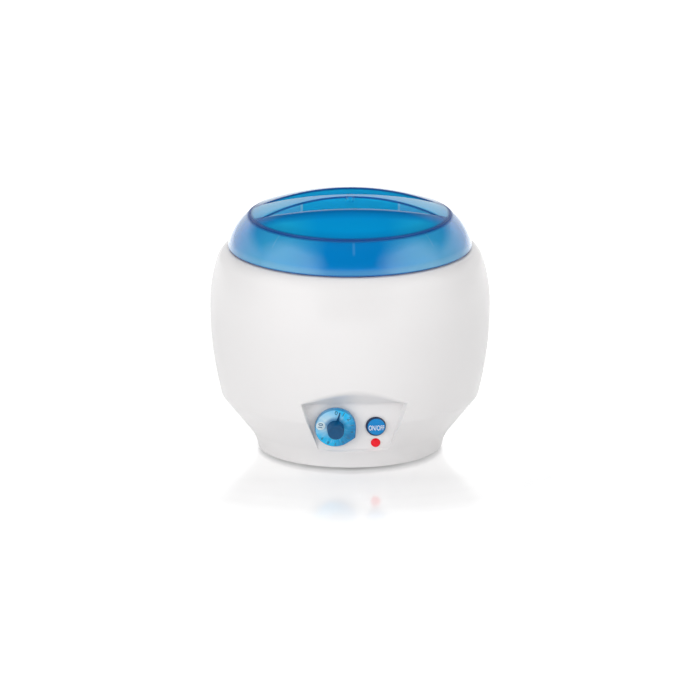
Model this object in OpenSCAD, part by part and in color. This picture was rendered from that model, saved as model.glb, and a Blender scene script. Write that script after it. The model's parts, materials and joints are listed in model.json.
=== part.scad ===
// Wax warmer: a barrel housing with a lift-out bowl, a translucent lid and a hooded control recess.
// The origin is on the table under the middle, +Z is up and the controls face -Y.

/* [Housing] */
// Largest diameter of the housing
body_d = 207; // [201:1:212]
// Height of the widest part above the table
equator_h = 110.4; // [106:0.1:114]
// Radius of the side above the widest part
upper_r = 110; // [100:1:125]
// Angle at which the side turns into the shoulder
shoulder_from = 18; // [15:0.5:21]
// Radius of the shoulder
shoulder_r = 14.2; // [12:0.1:17]
// Radius of the side below the widest part
lower_r = 272; // [240:1:310]
// Slope of the waist, measured from upright
waist_angle = 39; // [36:0.5:42]
// Radius that blends the side into the waist
waist_corner_r = 5; // [3:0.5:9]
// Radius of the hollow curve above the foot
foot_curve_r = 29.4; // [26:0.2:36]
// Lean of the foot, measured from upright
foot_lean = 8; // [4:1:12]
// Diameter of the foot
foot_d = 136; // [134:1:138]
// Thickness of the housing's wall
wall = 2.6; // [2.2:0.1:3.2]
// Width of the housing's shoulder outside the lid
shoulder_w = 13.2; // [12:0.1:14.5]
// Width of the seat in the top, from the lid's edge to the opening
seat_w = 16.8; // [15.5:0.1:18]

/* [Lid] */
// Width of the lid's skirt, from its lower edge in to the rim
skirt_w = 15.9; // [14:0.1:17]
// Height of the rim above the lower edge
skirt_h = 23.8; // [21:0.1:27]
// Radius of the skirt's curve
skirt_r = 38; // [34:0.5:60]
// Rise of the dome above the rim
dome_rise = 14.2; // [12:0.1:17]
// Thickness of the lid
lid_wall = 2.4; // [2:0.1:3]
// Length of a finger pocket from tip to tip
pocket_l = 128.6; // [110:0.2:134]
// Distance of a pocket's tips from the middle line
pocket_tip_y = 18; // [16:0.5:20]
// Distance of a pocket's far wall from the middle line
pocket_far_y = 29; // [26:0.5:33]
// Width of the web between the pockets
web_w = 7; // [6:0.2:9]
// Depth of the pockets' floor under the top of the dome
pocket_depth = 11.2; // [9:0.1:12.5]
// Distance of a cross rib in the web from the middle
web_rib_x = 36; // [30:1:42]
// Diameter of the mark at the top of the dome
gate_d = 9.6; // [8:0.2:11]
// Number of stiffening ribs inside the skirt
skirt_ribs = 8; // [6:1:10]
// Height of those ribs under the rim
skirt_rib_h = 9; // [7:0.5:14]

/* [Bowl and well] */
// Gap between the opening in the top and the inside of the wax bowl
bowl_inset = 7; // [6.6:0.1:9]
// Inner depth of the wax bowl
bowl_depth = 83; // [74:1:85]
// Thickness of the bowl's wall
bowl_wall = 1.5; // [1.2:0.1:1.8]
// Width of the bowl's flange, from its wall to its rolled edge
bowl_flange_w = 8.8; // [7.6:0.1:10]
// Thickness of the well's wall
well_wall = 2; // [1.6:0.1:2.2]
// Height of the band heater
heater_h = 42; // [34:1:48]
// Thickness of the band heater
heater_t = 2.5; // [2:0.1:3.2]
// Thickness of the insulation wrap
wrap_t = 6; // [4:0.5:8]

/* [Control recess] */
// Lean of the panel, facing down from upright
panel_lean = 10; // [8:0.5:12]
// Distance of the panel's lower edge out from the foot
panel_step = 3; // [2:0.5:4]
// Height of the panel's lower edge
panel_low = 16.7; // [15.5:0.1:17.5]
// Height of the panel's upper edge
panel_high = 54.3; // [54:0.1:56]
// Half width of the panel at its lower edge
panel_low_half = 26.2; // [26:0.1:28]
// Half width of the panel at its upper edge
panel_high_half = 37.8; // [36.5:0.1:38.5]

/* [Controls] */
// Diameter of the dial
dial_d = 31; // [29:0.2:31.4]
// Thickness of the dial
dial_t = 5; // [4:0.1:5.6]
// Reach of the dial's beak from its middle
beak_reach = 16.9; // [16.4:0.1:17]
// Place of the dial across the panel
dial_x = -13.5; // [-14.5:0.1:-13]
// Height of the dial's middle
dial_z = 37.1; // [36.6:0.1:38]
// Height of the hub cap over the dial
hub_h = 7; // [5:0.5:8]
// Diameter of the thermostat's shaft
shaft_d = 6; // [5:0.2:6.4]
// Place of the button across the panel
button_x = 16.4; // [15.8:0.1:17]
// Height of the button's middle
button_z = 35.8; // [35.5:0.1:37.5]
// Diameter of the button
button_d = 14.4; // [12.6:0.2:14.6]
// How far the button stands proud of the panel
button_proud = 3.2; // [3:0.1:4]
// How far the button travels
button_travel = 2.5; // [1.5:0.1:2.6]
// Height of the indicator lens's middle
lens_z = 22.5; // [22.2:0.1:23.3]
// Diameter of the indicator lens
lens_d = 6.9; // [6:0.1:7]

/* [Base] */
// Height of the rubber feet under the base plate
foot_h = 2.8; // [2:0.1:3.4]
// Distance of the feet in from the foot's edge
foot_inset = 17; // [16:0.5:22]
// Distance of the posts in from the foot's edge
post_inset = 13; // [12:0.5:14]
// Diameter of the posts
post_d = 8.4; // [7.6:0.2:9]
// Height of the heat shield above the table
shield_z = 57; // [56.5:0.1:58]
// Bore of the cord gland
gland_bore = 7.2; // [6:0.2:7.6]
// Height of the cord gland
gland_z = 20; // [19:0.5:22]

/* [Hidden] */
$fn = 64;

// Gaps: a seat between bodies, a running fit, a hand fit and a fastener in its pilot hole
seat = 0.3;
running = 0.08;
loose = 0.8;
thread_fit = 0.05;
skin = 0.01;

// Screws for the plate and the shield: pilot hole, clearance hole and head
pilot_r = 1.5;
pilot_l = 12;
clear_r = 1.9;
head_r = 3.2;

// Housing profile
housing_low = foot_h - 0.4;
body_r = body_d / 2;
lid_r = body_r - shoulder_w;
rim_r = lid_r - skirt_w;
mouth_r = lid_r - seat_w;
upper_cx = body_r - upper_r;
lower_cx = body_r - lower_r;
shoulder_c = [upper_cx + (upper_r - shoulder_r) * cos(shoulder_from),
    equator_h + (upper_r - shoulder_r) * sin(shoulder_from)];
land_r = lid_r - 1.8;
land_angle = acos((land_r - shoulder_c[0]) / shoulder_r);
land_z = shoulder_c[1] + shoulder_r * sin(land_angle);
foot_c = [foot_d / 2 + foot_curve_r * cos(foot_lean), housing_low - foot_curve_r * sin(foot_lean)];
slant = [sin(waist_angle), cos(waist_angle)];
slant_in = [-cos(waist_angle), sin(waist_angle)];
slant_start = foot_c + foot_curve_r * slant_in;
corner_from = slant_start + waist_corner_r * slant_in - [lower_cx, equator_h];
corner_b = corner_from * slant;
corner_t = -corner_b + sqrt(corner_b * corner_b - corner_from * corner_from
    + (lower_r - waist_corner_r) * (lower_r - waist_corner_r));
corner_c = slant_start + waist_corner_r * slant_in + corner_t * slant;
corner_to = atan2(corner_c[1] - equator_h, corner_c[0] - lower_cx);

// Seats in the mouth of the housing
seal_t = 0.8;
flange_t = 1.6;
seat_r = lid_r - 6.1;
shelf_z = land_z - seal_t - flange_t;
top_t = 2.6;

// Bowl and well
bowl_r = mouth_r - bowl_inset;
bowl_out = bowl_r + bowl_wall;
bowl_seat_z = land_z + seat;
bowl_top_z = bowl_seat_z + bowl_wall;
bowl_low_z = bowl_top_z - bowl_depth - bowl_wall;
bead_r = 1.2;
bowl_rim_r = bowl_out + bowl_flange_w;
bowl_corner_r = 9;
tab_w = 26;
well_r = bowl_out + loose;
well_out = well_r + well_wall;
well_low_z = bowl_low_z - loose - well_wall;
stud_d = 5;
stud_hole_r = stud_d / 2 + 0.15;
stud_low_z = shield_z - 6.5;
nut_t = 4;

// Heater and wrap
heater_low_z = well_low_z + 9;
heater_in = well_out + 0.05;
heater_out = heater_in + heater_t;
heater_gap = 14;
wrap_in = heater_out + 0.2;
wrap_out = wrap_in + wrap_t;
wrap_low_z = heater_low_z - 4;
wrap_h = heater_h + 8;
wrap_gap = 50;
lug_t = 1.5;
lug_l = 9;
lug_z = heater_low_z + heater_h - 17;
lug_h = 14;
clamp_y = heater_out + 5;
clamp_r = 1.5;
clamp_nut_t = 2.4;
heater_stud_r = 1.6;
heater_stud_l = 4;
stud_angle = 16;
stud_z = heater_low_z + 8;

// Lid
lid_z = land_z + 0.6;
rim_z = lid_z + skirt_h;
dome_r = (rim_r * rim_r + dome_rise * dome_rise) / (2 * dome_rise);
top_z = rim_z + dome_rise;
dome_cz = top_z - dome_r;
chord = [rim_r - lid_r, skirt_h];
chord_l = norm(chord);
skirt_sag = sqrt(skirt_r * skirt_r - chord_l * chord_l / 4);
skirt_c = [(lid_r + rim_r) / 2 - chord[1] / chord_l * skirt_sag,
    lid_z + skirt_h / 2 + chord[0] / chord_l * skirt_sag];
skirt_a0 = atan2(lid_z - skirt_c[1], lid_r - skirt_c[0]);
skirt_a1 = atan2(rim_z - skirt_c[1], rim_r - skirt_c[0]);
ring_out = rim_r - 1;
ring_in = ring_out - 1.8;
ring_low_z = bowl_top_z + seat;
pocket_half = pocket_l / 2;
pocket_floor_z = top_z - pocket_depth;
pocket_wall = 2.2;
gate_sphere = 18;
gate_h = 3.5;
groove_r = 0.6;
web_half = web_w / 2;
near_sag = pocket_tip_y - web_half;
far_sag = pocket_far_y - pocket_tip_y;
near_r = (pocket_half * pocket_half + near_sag * near_sag) / (2 * near_sag);
far_r = (pocket_half * pocket_half + far_sag * far_sag) / (2 * far_sag);

// Control recess, in the panel's own frame: x across, y up the panel, z out of it
panel_tan = tan(panel_lean);
panel_foot_y = foot_d / 2 + panel_step;
panel_up = (panel_high - panel_low) / cos(panel_lean);
recess_out = 26;
hood_rise_mid = recess_out * tan(40.4);
hood_rise_end = recess_out * tan(20);
recess_spread = recess_out * tan(2);

// Controls, measured out from the panel's face
dial_gap = 1.4;
hub_r0 = 6.5;
hub_r1 = 5.9;
shaft_r = shaft_d / 2;
shaft_top = dial_gap + dial_t + hub_h - 2;
thermo_w = 30;
thermo_h = 32;
thermo_screw_x = 11.6;
thermo_back = wall + 15;
thermo_blades = [[4, -4], [-4, -4], [0, -9]];
blade_l = 8;
beak_angle = -34;
beak_root_w = 20;
beak_tip_r = 1.8;
pointer_angle = 78;
ear_x = 10.4;
spring_turns = 4.5;
lamp_pin = 1.4;
button_r = button_d / 2;
button_bore = button_r + 0.15;
cap_back = -5.5;
switch_top = cap_back - 3 - button_travel;
switch_neck_r = button_bore + 0.75;
switch_t = 13;
plunger_r = 2.2;
spring_r = 3.6;
spring_wire = 0.7;
lens_r = lens_d / 2;
lamp_x = button_x;
holder_r = 4.2;
holder_l = 20;
lens_dome_r = (lens_r * lens_r + 1.2 * 1.2) / 2.4;

// Base
plate_r = foot_d / 2 - wall - 0.9;
plate_t = 2.6;
lip_h = 2;
rib_t = 2.2;
vent_pitch = 8;
vent_w = 3;
vent_l = 24;
foot_r = 7;
foot_bevel = 0.6;
foot_stem_r = 2.5;
plate_top = foot_h + plate_t;
foot_at = foot_d / 2 - foot_inset;
post_at = foot_d / 2 - post_inset;
shield_t = 1.2;
shield_r = well_out + 1.2;
shield_rim = 5;
shield_hole_r = 4;
block = [30, 16, 13];
block_y = 37;
block_port_z = plate_top + 6;
block_pitch = 10;
gland_bush_r = gland_bore / 2 + 2.1;
gland_boss_r = gland_bush_r + 2;
gland_boss_y = slant_start[0] + (gland_z + gland_boss_r - slant_start[1]) * tan(waist_angle) + 0.5;
gland_flange_t = 2.5;
gland_bore_l = 16;
lead_r = 1.1;
end_gap = 0.45;

// Things held under the well
under_r = 2.3;
strap_t = 0.6;
strap_foot = 4;
under_well_z = well_low_z - under_r - 0.1;
sensor_y = -26;
sensor_l = 44;
fuse_y = 26;
fuse_l = 14;
fuse_end = fuse_l / 2 + 5.4;
feed_hole = [28, 12];
sensor_hole = [-sensor_l / 2 - 10, sensor_y];
well_edge_y = sqrt(well_out * well_out - 24 * 24);
tag_t = 0.8;
tag_l = 12;
tag_crimp_l = 6;
tag_crimp_r = 1.5;

// Points along an arc about c
function arc(c, r, a0, a1, n) =
    [for (i = [0:n]) let (a = a0 + (a1 - a0) * i / n) [c[0] + r * cos(a), c[1] + r * sin(a)]];

// The housing's outline from foot to shoulder, set in by d
function side(d, from) = concat(
    arc(foot_c, foot_curve_r + d, 180 - from, 180 - waist_angle, 8),
    arc(corner_c, waist_corner_r - d, -waist_angle, corner_to, 4),
    arc([lower_cx, equator_h], lower_r - d, corner_to, 0, 16),
    arc([upper_cx, equator_h], upper_r - d, 0, shoulder_from, 7),
    arc(shoulder_c, shoulder_r - d, shoulder_from, land_angle, 7));

// Smooth route through hand-picked points
function knot(p0, p1, p2, p3, t) = 0.5 * (2 * p1 + (p2 - p0) * t
    + (2 * p0 - 5 * p1 + 4 * p2 - p3) * t * t + (3 * p1 - p0 - 3 * p2 + p3) * t * t * t);
function route(p, n) = [for (i = [0:len(p) - 2]) for (j = [0:n - 1])
    knot(p[max(i - 1, 0)], p[i], p[i + 1], p[min(i + 2, len(p) - 1)], j / n), p[len(p) - 1]];
function unit(v) = v / norm(v);
function headings(c) =
    [for (i = [0:len(c) - 1]) unit(c[min(i + 1, len(c) - 1)] - c[max(i - 1, 0)])];
function carried(t, u, i = 0, done = []) = i == len(t) ? done
    : let (v = unit(u - (u * t[i]) * t[i])) carried(t, v, i + 1, concat(done, [v]));

// A round tube of n sides along the points c
module tube(c, r, n = 6) {
    t = headings(c);
    a = carried(t, abs(t[0][2]) > 0.8 ? [1, 0, 0] : [0, 0, 1]);
    m = len(c);
    rings = [for (i = [0:m - 1]) let (b = cross(t[i], a[i])) for (k = [0:n - 1])
        c[i] + r * (a[i] * cos(360 * k / n) + b * sin(360 * k / n))];
    sides = [for (i = [0:m - 2]) for (k = [0:n - 1]) for (f = [0, 1])
        let (p = i * n + k, q = i * n + (k + 1) % n)
        f == 0 ? [p, q + n, q] : [p, p + n, q + n]];
    low = [for (k = [1:n - 2]) [0, k, k + 1]];
    high = [for (k = [1:n - 2]) [(m - 1) * n, (m - 1) * n + k + 1, (m - 1) * n + k]];
    polyhedron(points = rings, faces = concat(sides, low, high));
}

module ring(r_out, r_in, h) {
    difference() {
        cylinder(r = r_out, h = h);
        translate([0, 0, -1]) cylinder(r = r_in, h = h + 2);
    }
}

// Places its children on the panel's face, at x across and height z, with +Z out of the panel
module on_panel(x, z) {
    translate([x, -panel_foot_y - (z - panel_low) * panel_tan, z]) rotate([90 + panel_lean, 0, 0]) children();
}

// Pan-head screw, head up, its shank going down from the origin
module screw(shank_r, shank_l, head_r, head_h, slot_d = 0.8) {
    difference() {
        union() {
            translate([0, 0, -shank_l]) cylinder(r = shank_r, h = shank_l + skin);
            cylinder(r1 = head_r, r2 = head_r * 0.8, h = head_h);
        }
        for (a = [0, 90]) rotate(a) translate([-head_r * 0.55, -0.4, head_h - slot_d]) cube([head_r * 1.1, 0.8, 2]);
    }
}

// Outer form of the housing
module housing_form() {
    rotate_extrude($fn = 96) polygon(concat([[0, housing_low]], side(0, foot_lean), [[0, land_z]]));
}

module housing_cavity() {
    intersection() {
        rotate_extrude($fn = 96) polygon(concat([[0, housing_low - 6]],
            [[side(wall, foot_lean)[0][0], housing_low - 6]], side(wall, foot_lean),
            [[0, shoulder_c[1] + (shoulder_r - wall) * sin(land_angle)]]));
        cylinder(r = body_r, h = shelf_z - top_t);
    }
}

// Outline of the recess on the panel's face, grown by g
function recess_near(g) = [[-panel_low_half - g, -g], [panel_low_half + g, -g],
    [panel_high_half + g, panel_up + g], [-panel_high_half - g, panel_up + g]];

// Outline of the recess out at its mouth, with the hood's arch, grown by g
function recess_far(g) = let (
        half = panel_high_half + recess_spread,
        rise = hood_rise_mid - hood_rise_end,
        arch_r = (half * half + rise * rise) / (2 * rise),
        arch_a = asin(half / arch_r))
    concat([[-panel_low_half - recess_spread / 2 - g, -2 - g], [panel_low_half + recess_spread / 2 + g, -2 - g]],
        [for (i = [-16:16]) [(arch_r + g) * sin(-arch_a * i / 16),
            panel_up + hood_rise_mid - arch_r + (arch_r + g) * cos(arch_a * i / 16)]]);

module recess(g, back) {
    on_panel(0, panel_low) hull() {
        translate([0, 0, -back]) linear_extrude(skin) polygon(recess_near(g));
        translate([0, 0, recess_out]) linear_extrude(skin) polygon(recess_far(g));
    }
}

// A post for the base and shield screws, tied to the wall by a rib
module posts() {
    for (a = [45:90:315]) rotate(a) {
        translate([post_at, 0, plate_top]) cylinder(d = post_d, h = shield_z - plate_top);
        translate([post_at, -rib_t / 2, plate_top + 5]) cube([body_r, rib_t, shield_z - plate_top - 12]);
    }
}

module post_holes() {
    for (a = [45:90:315]) rotate(a) translate([post_at, 0, 0]) {
        translate([0, 0, plate_top - 1]) cylinder(r = pilot_r, h = pilot_l + 1);
        translate([0, 0, shield_z - pilot_l]) cylinder(r = pilot_r, h = pilot_l + 1);
    }
}

module outer_housing() color([0.93, 0.92, 0.92]) difference() {
    union() {
        difference() {
            housing_form();
            housing_cavity();
        }
        intersection() {
            housing_form();
            union() {
                recess(wall, wall);
                posts();
            }
        }
        intersection() {
            translate([0, gland_boss_y, gland_z]) rotate([90, 0, 0]) cylinder(r = gland_boss_r, h = gland_bore_l);
            translate([-20, 0, housing_low]) cube([40, body_r, 40]);
        }
        for (s = [-1, 1]) on_panel(button_x + s * ear_x, button_z) translate([0, 0, -wall - 4])
            cylinder(r = 2.1, h = 5);
    }
    recess(0, 0);
    post_holes();
    translate([0, 0, shelf_z]) cylinder(r = seat_r, h = 20);
    translate([0, 0, shelf_z - 10]) cylinder(r = mouth_r, h = 20);
    on_panel(dial_x, dial_z) {
        translate([0, 0, -wall - 1]) cylinder(r = shaft_r + 0.6, h = 10);
        for (s = [-1, 1]) translate([s * thermo_screw_x, 0, 0]) {
            translate([0, 0, -wall - 1]) cylinder(r = 1.7, h = 10);
            translate([0, 0, -1]) cylinder(r = 2.9, h = 2);
        }
    }
    on_panel(button_x, button_z) translate([0, 0, -wall - 1]) cylinder(r = button_bore, h = 10);
    for (s = [-1, 1]) on_panel(button_x + s * ear_x, button_z) translate([0, 0, -wall - 5])
        cylinder(r = 0.9, h = 5.5);
    on_panel(lamp_x, lens_z) translate([0, 0, -wall - 1]) cylinder(r = lens_r + running, h = 10);
    translate([0, gland_boss_y + 1, gland_z]) rotate([90, 0, 0]) cylinder(r = gland_bush_r, h = 40);
}

module base_plate() color([0.86, 0.86, 0.86]) difference() {
    union() {
        translate([0, 0, foot_h]) cylinder(r = plate_r, h = plate_t);
        translate([0, 0, plate_top - skin]) ring(plate_r - 1.5, plate_r - 3, lip_h);
    }
    for (a = [45:90:315]) rotate(a) translate([post_at, 0, 0]) {
        cylinder(r = clear_r, h = 20);
        translate([0, 0, plate_top]) cylinder(r = post_d / 2 + seat, h = 10);
    }
    for (a = [0:90:270]) rotate(a) translate([foot_at, 0, 0]) cylinder(r = foot_stem_r, h = 20);
    for (i = [-2:2]) translate([i * vent_pitch - vent_w / 2, -vent_l - 10, 0]) cube([vent_w, vent_l, 20]);
}

module rubber_feet() color([0.15, 0.15, 0.15]) for (a = [0:90:270]) rotate(a) translate([foot_at, 0, 0]) {
    cylinder(r1 = foot_r - foot_bevel, r2 = foot_r, h = foot_bevel);
    translate([0, 0, foot_bevel]) cylinder(r = foot_r, h = foot_h - foot_bevel);
    cylinder(r = foot_stem_r - thread_fit, h = plate_top);
    translate([0, 0, plate_top]) cylinder(r1 = foot_stem_r + 0.9, r2 = foot_stem_r - 0.5, h = 1.8);
}

module base_screws() color("silver") for (a = [45:90:315]) rotate(a) translate([post_at, 0, foot_h])
    rotate([180, 0, 0]) screw(pilot_r - thread_fit, plate_t + pilot_l - 1, head_r, foot_h - 0.6);

module heating_well() color([0.78, 0.79, 0.8]) difference() {
    union() {
        translate([0, 0, well_low_z]) cylinder(r = well_out, h = land_z - well_low_z);
        translate([0, 0, land_z - flange_t]) cylinder(r = seat_r - 0.4, h = flange_t);
        translate([0, 0, stud_low_z]) cylinder(d = stud_d, h = well_low_z - stud_low_z + 1);
    }
    translate([0, 0, well_low_z + well_wall]) rotate_extrude($fn = 96) polygon(concat([[0, 0]],
        arc([well_r - bowl_corner_r, bowl_corner_r], bowl_corner_r, -90, 0, 6), [[well_r, bowl_depth + 20], [0, bowl_depth + 20]]));
}

module well_seal() color([0.75, 0.3, 0.22]) translate([0, 0, shelf_z]) ring(seat_r - 1, mouth_r + 2, seal_t);

module bowl_outline(d) {
    polygon(concat([[0, d]], arc([bowl_out - bowl_corner_r, bowl_corner_r], bowl_corner_r - d, -90, 0, 6),
        [[bowl_out - d, bowl_depth + 20], [0, bowl_depth + 20]]));
}

module wax_bowl() color([0.82, 0.83, 0.84]) difference() {
    union() {
        intersection() {
            translate([0, 0, bowl_low_z]) rotate_extrude($fn = 96) bowl_outline(0);
            cylinder(r = bowl_rim_r, h = bowl_top_z);
        }
        translate([0, 0, bowl_seat_z]) cylinder(r = bowl_rim_r - bead_r, h = bowl_wall);
        translate([0, 0, bowl_top_z]) rotate_extrude($fn = 96) translate([bowl_rim_r - bead_r, 0])
            circle(r = bead_r, $fn = 24);
        for (s = [0, 180]) rotate(s) intersection() {
            translate([bowl_r - 5, -tab_w / 2, bowl_seat_z]) cube([30, tab_w, bowl_wall]);
            cylinder(r = seat_r - 1.7, h = bowl_top_z);
        }
    }
    translate([0, 0, bowl_low_z]) rotate_extrude($fn = 96) bowl_outline(bowl_wall);
}

// Lid: outline of the skirt and dome, set in by d
function lid_side(d) = concat(arc(skirt_c, skirt_r - d, skirt_a0, skirt_a1, 10),
    [for (i = [1:14]) let (a = asin(rim_r / dome_r) * (1 - i / 14))
        [(dome_r - d) * sin(a), dome_cz + (dome_r - d) * cos(a)]]);

module lid_form(d) {
    low = d > 0 ? [[0, lid_z - 2], [lid_side(d)[0][0], lid_z - 2]] : [[0, lid_z]];
    rotate_extrude($fn = 96) polygon(concat(low, lid_side(d)));
}

// Prism of one finger pocket, grown by g, from height z up
module pocket(g, z) {
    translate([0, 0, z]) intersection() {
        translate([0, -web_half - near_r, 0]) cylinder(r = near_r + g, h = 40);
        translate([0, -pocket_far_y + far_r, 0]) cylinder(r = far_r + g, h = 40);
    }
}

// Short round boss at the top of the web
module gate_boss() {
    translate([0, 0, top_z - gate_h]) cylinder(d = gate_d, h = gate_h);
}

module lid() color([0.05, 0.42, 0.75, 0.75]) difference() {
    union() {
        difference() {
            lid_form(0);
            lid_form(lid_wall);
        }
        intersection() {
            lid_form(0);
            union() {
                translate([0, 0, ring_low_z]) ring(ring_out, ring_in, 40);
                for (i = [0:skirt_ribs - 1]) rotate(i * 360 / skirt_ribs)
                    translate([-0.8, -lid_r, rim_z - skirt_rib_h]) cube([1.6, lid_r - ring_in - 0.5, 40]);
                for (m = [0, 1]) mirror([0, m, 0]) pocket(pocket_wall, pocket_floor_z - pocket_wall);
                for (s = [-1, 1]) translate([s * web_rib_x - 1, -14, pocket_floor_z]) cube([2, 28, pocket_depth]);
            }
        }
    }
    for (m = [0, 1]) mirror([0, m, 0]) difference() {
        pocket(0, pocket_floor_z);
        gate_boss();
    }
    translate([0, 0, top_z + gate_sphere]) sphere(r = norm([gate_d / 2 - 1, gate_sphere - 0.1]), $fn = 96);
    translate([0, 0, rim_z]) rotate_extrude($fn = 96) translate([rim_r, 0]) circle(r = groove_r, $fn = 24);
}

// Band heater with its clamp lugs and two terminal studs at the back
module band_heater() color([0.72, 0.66, 0.5]) difference() {
    union() {
        difference() {
            translate([0, 0, heater_low_z]) ring(heater_out, heater_in, heater_h);
            translate([-heater_gap / 2, 0, 0]) cube([heater_gap, body_r, 200]);
        }
        for (s = [0, 1]) mirror([s, 0, 0]) {
            translate([heater_gap / 2, heater_in + 0.3, lug_z - lug_h / 2]) cube([lug_t, heater_t + lug_l, lug_h]);
            rotate(-stud_angle) translate([0, heater_in + 1, stud_z]) rotate([-90, 0, 0])
                cylinder(r = heater_stud_r, h = heater_t - 1 + heater_stud_l);
        }
    }
    translate([-20, clamp_y, lug_z]) rotate([0, 90, 0]) cylinder(r = clamp_r + 0.1, h = 40);
}

module heater_clamp_screw() color("silver") translate([heater_gap / 2 + lug_t, clamp_y, lug_z])
    rotate([0, 90, 0]) {
        screw(clamp_r, heater_gap + 2 * lug_t + clamp_nut_t + 1.6, 2 * clamp_r, 1.8);
        translate([0, 0, -heater_gap - 2 * lug_t - clamp_nut_t]) difference() {
            cylinder(r = 2 * clamp_r, h = clamp_nut_t, $fn = 6);
            translate([0, 0, -1]) cylinder(r = clamp_r + thread_fit, h = clamp_nut_t + 2);
        }
    }

module insulation_wrap() color([0.9, 0.87, 0.75]) difference() {
    translate([0, 0, wrap_low_z]) ring(wrap_out, wrap_in, wrap_h);
    translate([-wrap_gap / 2, 0, 0]) cube([wrap_gap, body_r, 200]);
}

module heat_shield() color([0.7, 0.71, 0.72]) difference() {
    translate([0, 0, shield_z]) {
        cylinder(r = shield_r, h = shield_t);
        ring(shield_r, shield_r - shield_t, shield_t + shield_rim);
    }
    for (a = [45:90:315]) rotate(a) translate([post_at, 0, 0]) cylinder(r = clear_r, h = 100);
    cylinder(r = stud_hole_r, h = 100);
    for (at = [feed_hole, sensor_hole]) translate(concat(at, [0])) cylinder(r = shield_hole_r, h = 100);
}

module shield_screws() color("silver") for (a = [45:90:315]) rotate(a)
    translate([post_at, 0, shield_z + shield_t]) screw(pilot_r - thread_fit, shield_t + pilot_l - 1, head_r, 1.8);

module well_spacer() color([0.8, 0.8, 0.8]) translate([0, 0, shield_z + shield_t])
    ring(stud_d, stud_hole_r, well_low_z - shield_z - shield_t);

module earth_tag() color([0.85, 0.65, 0.3]) difference() {
    translate([0, 0, shield_z - tag_t]) {
        cylinder(r = stud_d, h = tag_t);
        translate([-1.8, 0, 0]) cube([3.6, tag_l, tag_t]);
        translate([0, tag_l + tag_crimp_l - 1, tag_t - tag_crimp_r]) rotate([90, 0, 0])
            cylinder(r = tag_crimp_r, h = tag_crimp_l);
    }
    cylinder(r = stud_hole_r, h = 100);
}

module well_nut() color("silver") translate([0, 0, shield_z - tag_t - nut_t]) difference() {
    cylinder(r = stud_d - 0.4, h = nut_t, $fn = 6);
    translate([0, 0, -1]) cylinder(r = stud_d / 2 + thread_fit, h = nut_t + 2);
}

module thermostat_body() color([0.2, 0.18, 0.17]) on_panel(dial_x, dial_z) difference() {
    union() {
        translate([-thermo_w / 2, -thermo_h / 2, -wall - 1.2]) cube([thermo_w, thermo_h, 1.2]);
        translate([0, 0, -thermo_back]) cylinder(r = thermo_w / 2 - 1, h = thermo_back - wall - 1);
        for (b = thermo_blades) translate([b[0] - 3.1, b[1] - 0.4, -thermo_back - blade_l]) cube([6.2, 0.8, blade_l + 1]);
    }
    translate([0, 0, -wall - 10]) cylinder(r = shaft_r + running, h = 20);
    for (s = [-1, 1]) translate([s * thermo_screw_x, 0, -wall - 9]) cylinder(r = 1.5, h = 20);
}

module thermostat_screws() color("silver") on_panel(dial_x, dial_z) for (s = [-1, 1])
    translate([s * thermo_screw_x, 0, -1]) screw(1.5 - thread_fit, wall + 6, 2.8, 0.9, 0.4);

module thermostat_shaft() color([0.75, 0.75, 0.76]) on_panel(dial_x, dial_z) difference() {
    translate([0, 0, -wall - 9.5]) cylinder(r = shaft_r, h = shaft_top + wall + 9.5);
    translate([-shaft_r, shaft_r * 0.5, dial_gap]) cube([2 * shaft_r, shaft_r, 20]);
}

// Outline of the dial's beak, along +X from inside the disc
module beak_outline() polygon(concat([[0, -beak_root_w / 2]],
    arc([beak_reach - beak_tip_r, 0], beak_tip_r, -50, 50, 6), [[0, beak_root_w / 2]]));

module dial() color([0.3, 0.68, 0.85, 0.85]) on_panel(dial_x, dial_z) difference() {
    union() {
        translate([0, 0, dial_gap]) cylinder(d = dial_d, h = dial_t - 1);
        translate([0, 0, dial_gap + dial_t - 1]) cylinder(r1 = dial_d / 2, r2 = dial_d / 2 - 1, h = 1);
        rotate(beak_angle) translate([0, 0, dial_gap + 0.4]) linear_extrude(dial_t - 1.6) beak_outline();
    }
    translate([0, 0, dial_gap - 1]) cylinder(r = shaft_r + running, h = 20);
}

module dial_hub() color([0.02, 0.17, 0.42]) on_panel(dial_x, dial_z) difference() {
    translate([0, 0, dial_gap + dial_t]) {
        cylinder(r1 = hub_r0, r2 = hub_r1, h = hub_h);
        rotate(pointer_angle) translate([hub_r0 - 1, -0.9, 0]) cube([6.4, 1.8, 0.8]);
    }
    translate([0, 0, dial_gap]) cylinder(r = shaft_r + running, h = shaft_top + running - dial_gap);
}

// A rod lying along X under the well, with its ends at half its length
module rod_under_well(y, r, l) {
    translate([-l / 2, y, under_well_z]) rotate([0, 90, 0]) cylinder(r = r, h = l);
}

// Strap that holds a rod of radius r against the well
module strap(y, r, l) translate([-l / 2, y, 0]) difference() {
    union() {
        translate([0, 0, under_well_z]) rotate([0, 90, 0]) cylinder(r = r + strap_t, h = l);
        translate([0, -r - strap_t, under_well_z]) cube([l, 2 * (r + strap_t), well_low_z - under_well_z]);
        translate([0, -r - strap_foot, well_low_z - strap_t]) cube([l, 2 * (r + strap_foot), strap_t]);
    }
    translate([-1, 0, under_well_z]) rotate([0, 90, 0]) cylinder(r = r + thread_fit, h = l + 2);
    translate([-1, -r - thread_fit, under_well_z]) cube([l + 2, 2 * (r + thread_fit), 10]);
}

module sensor_bulb() color([0.8, 0.45, 0.25]) rod_under_well(sensor_y, under_r, sensor_l);

module sensor_clip() color("silver") strap(sensor_y, under_r, 7);

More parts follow.
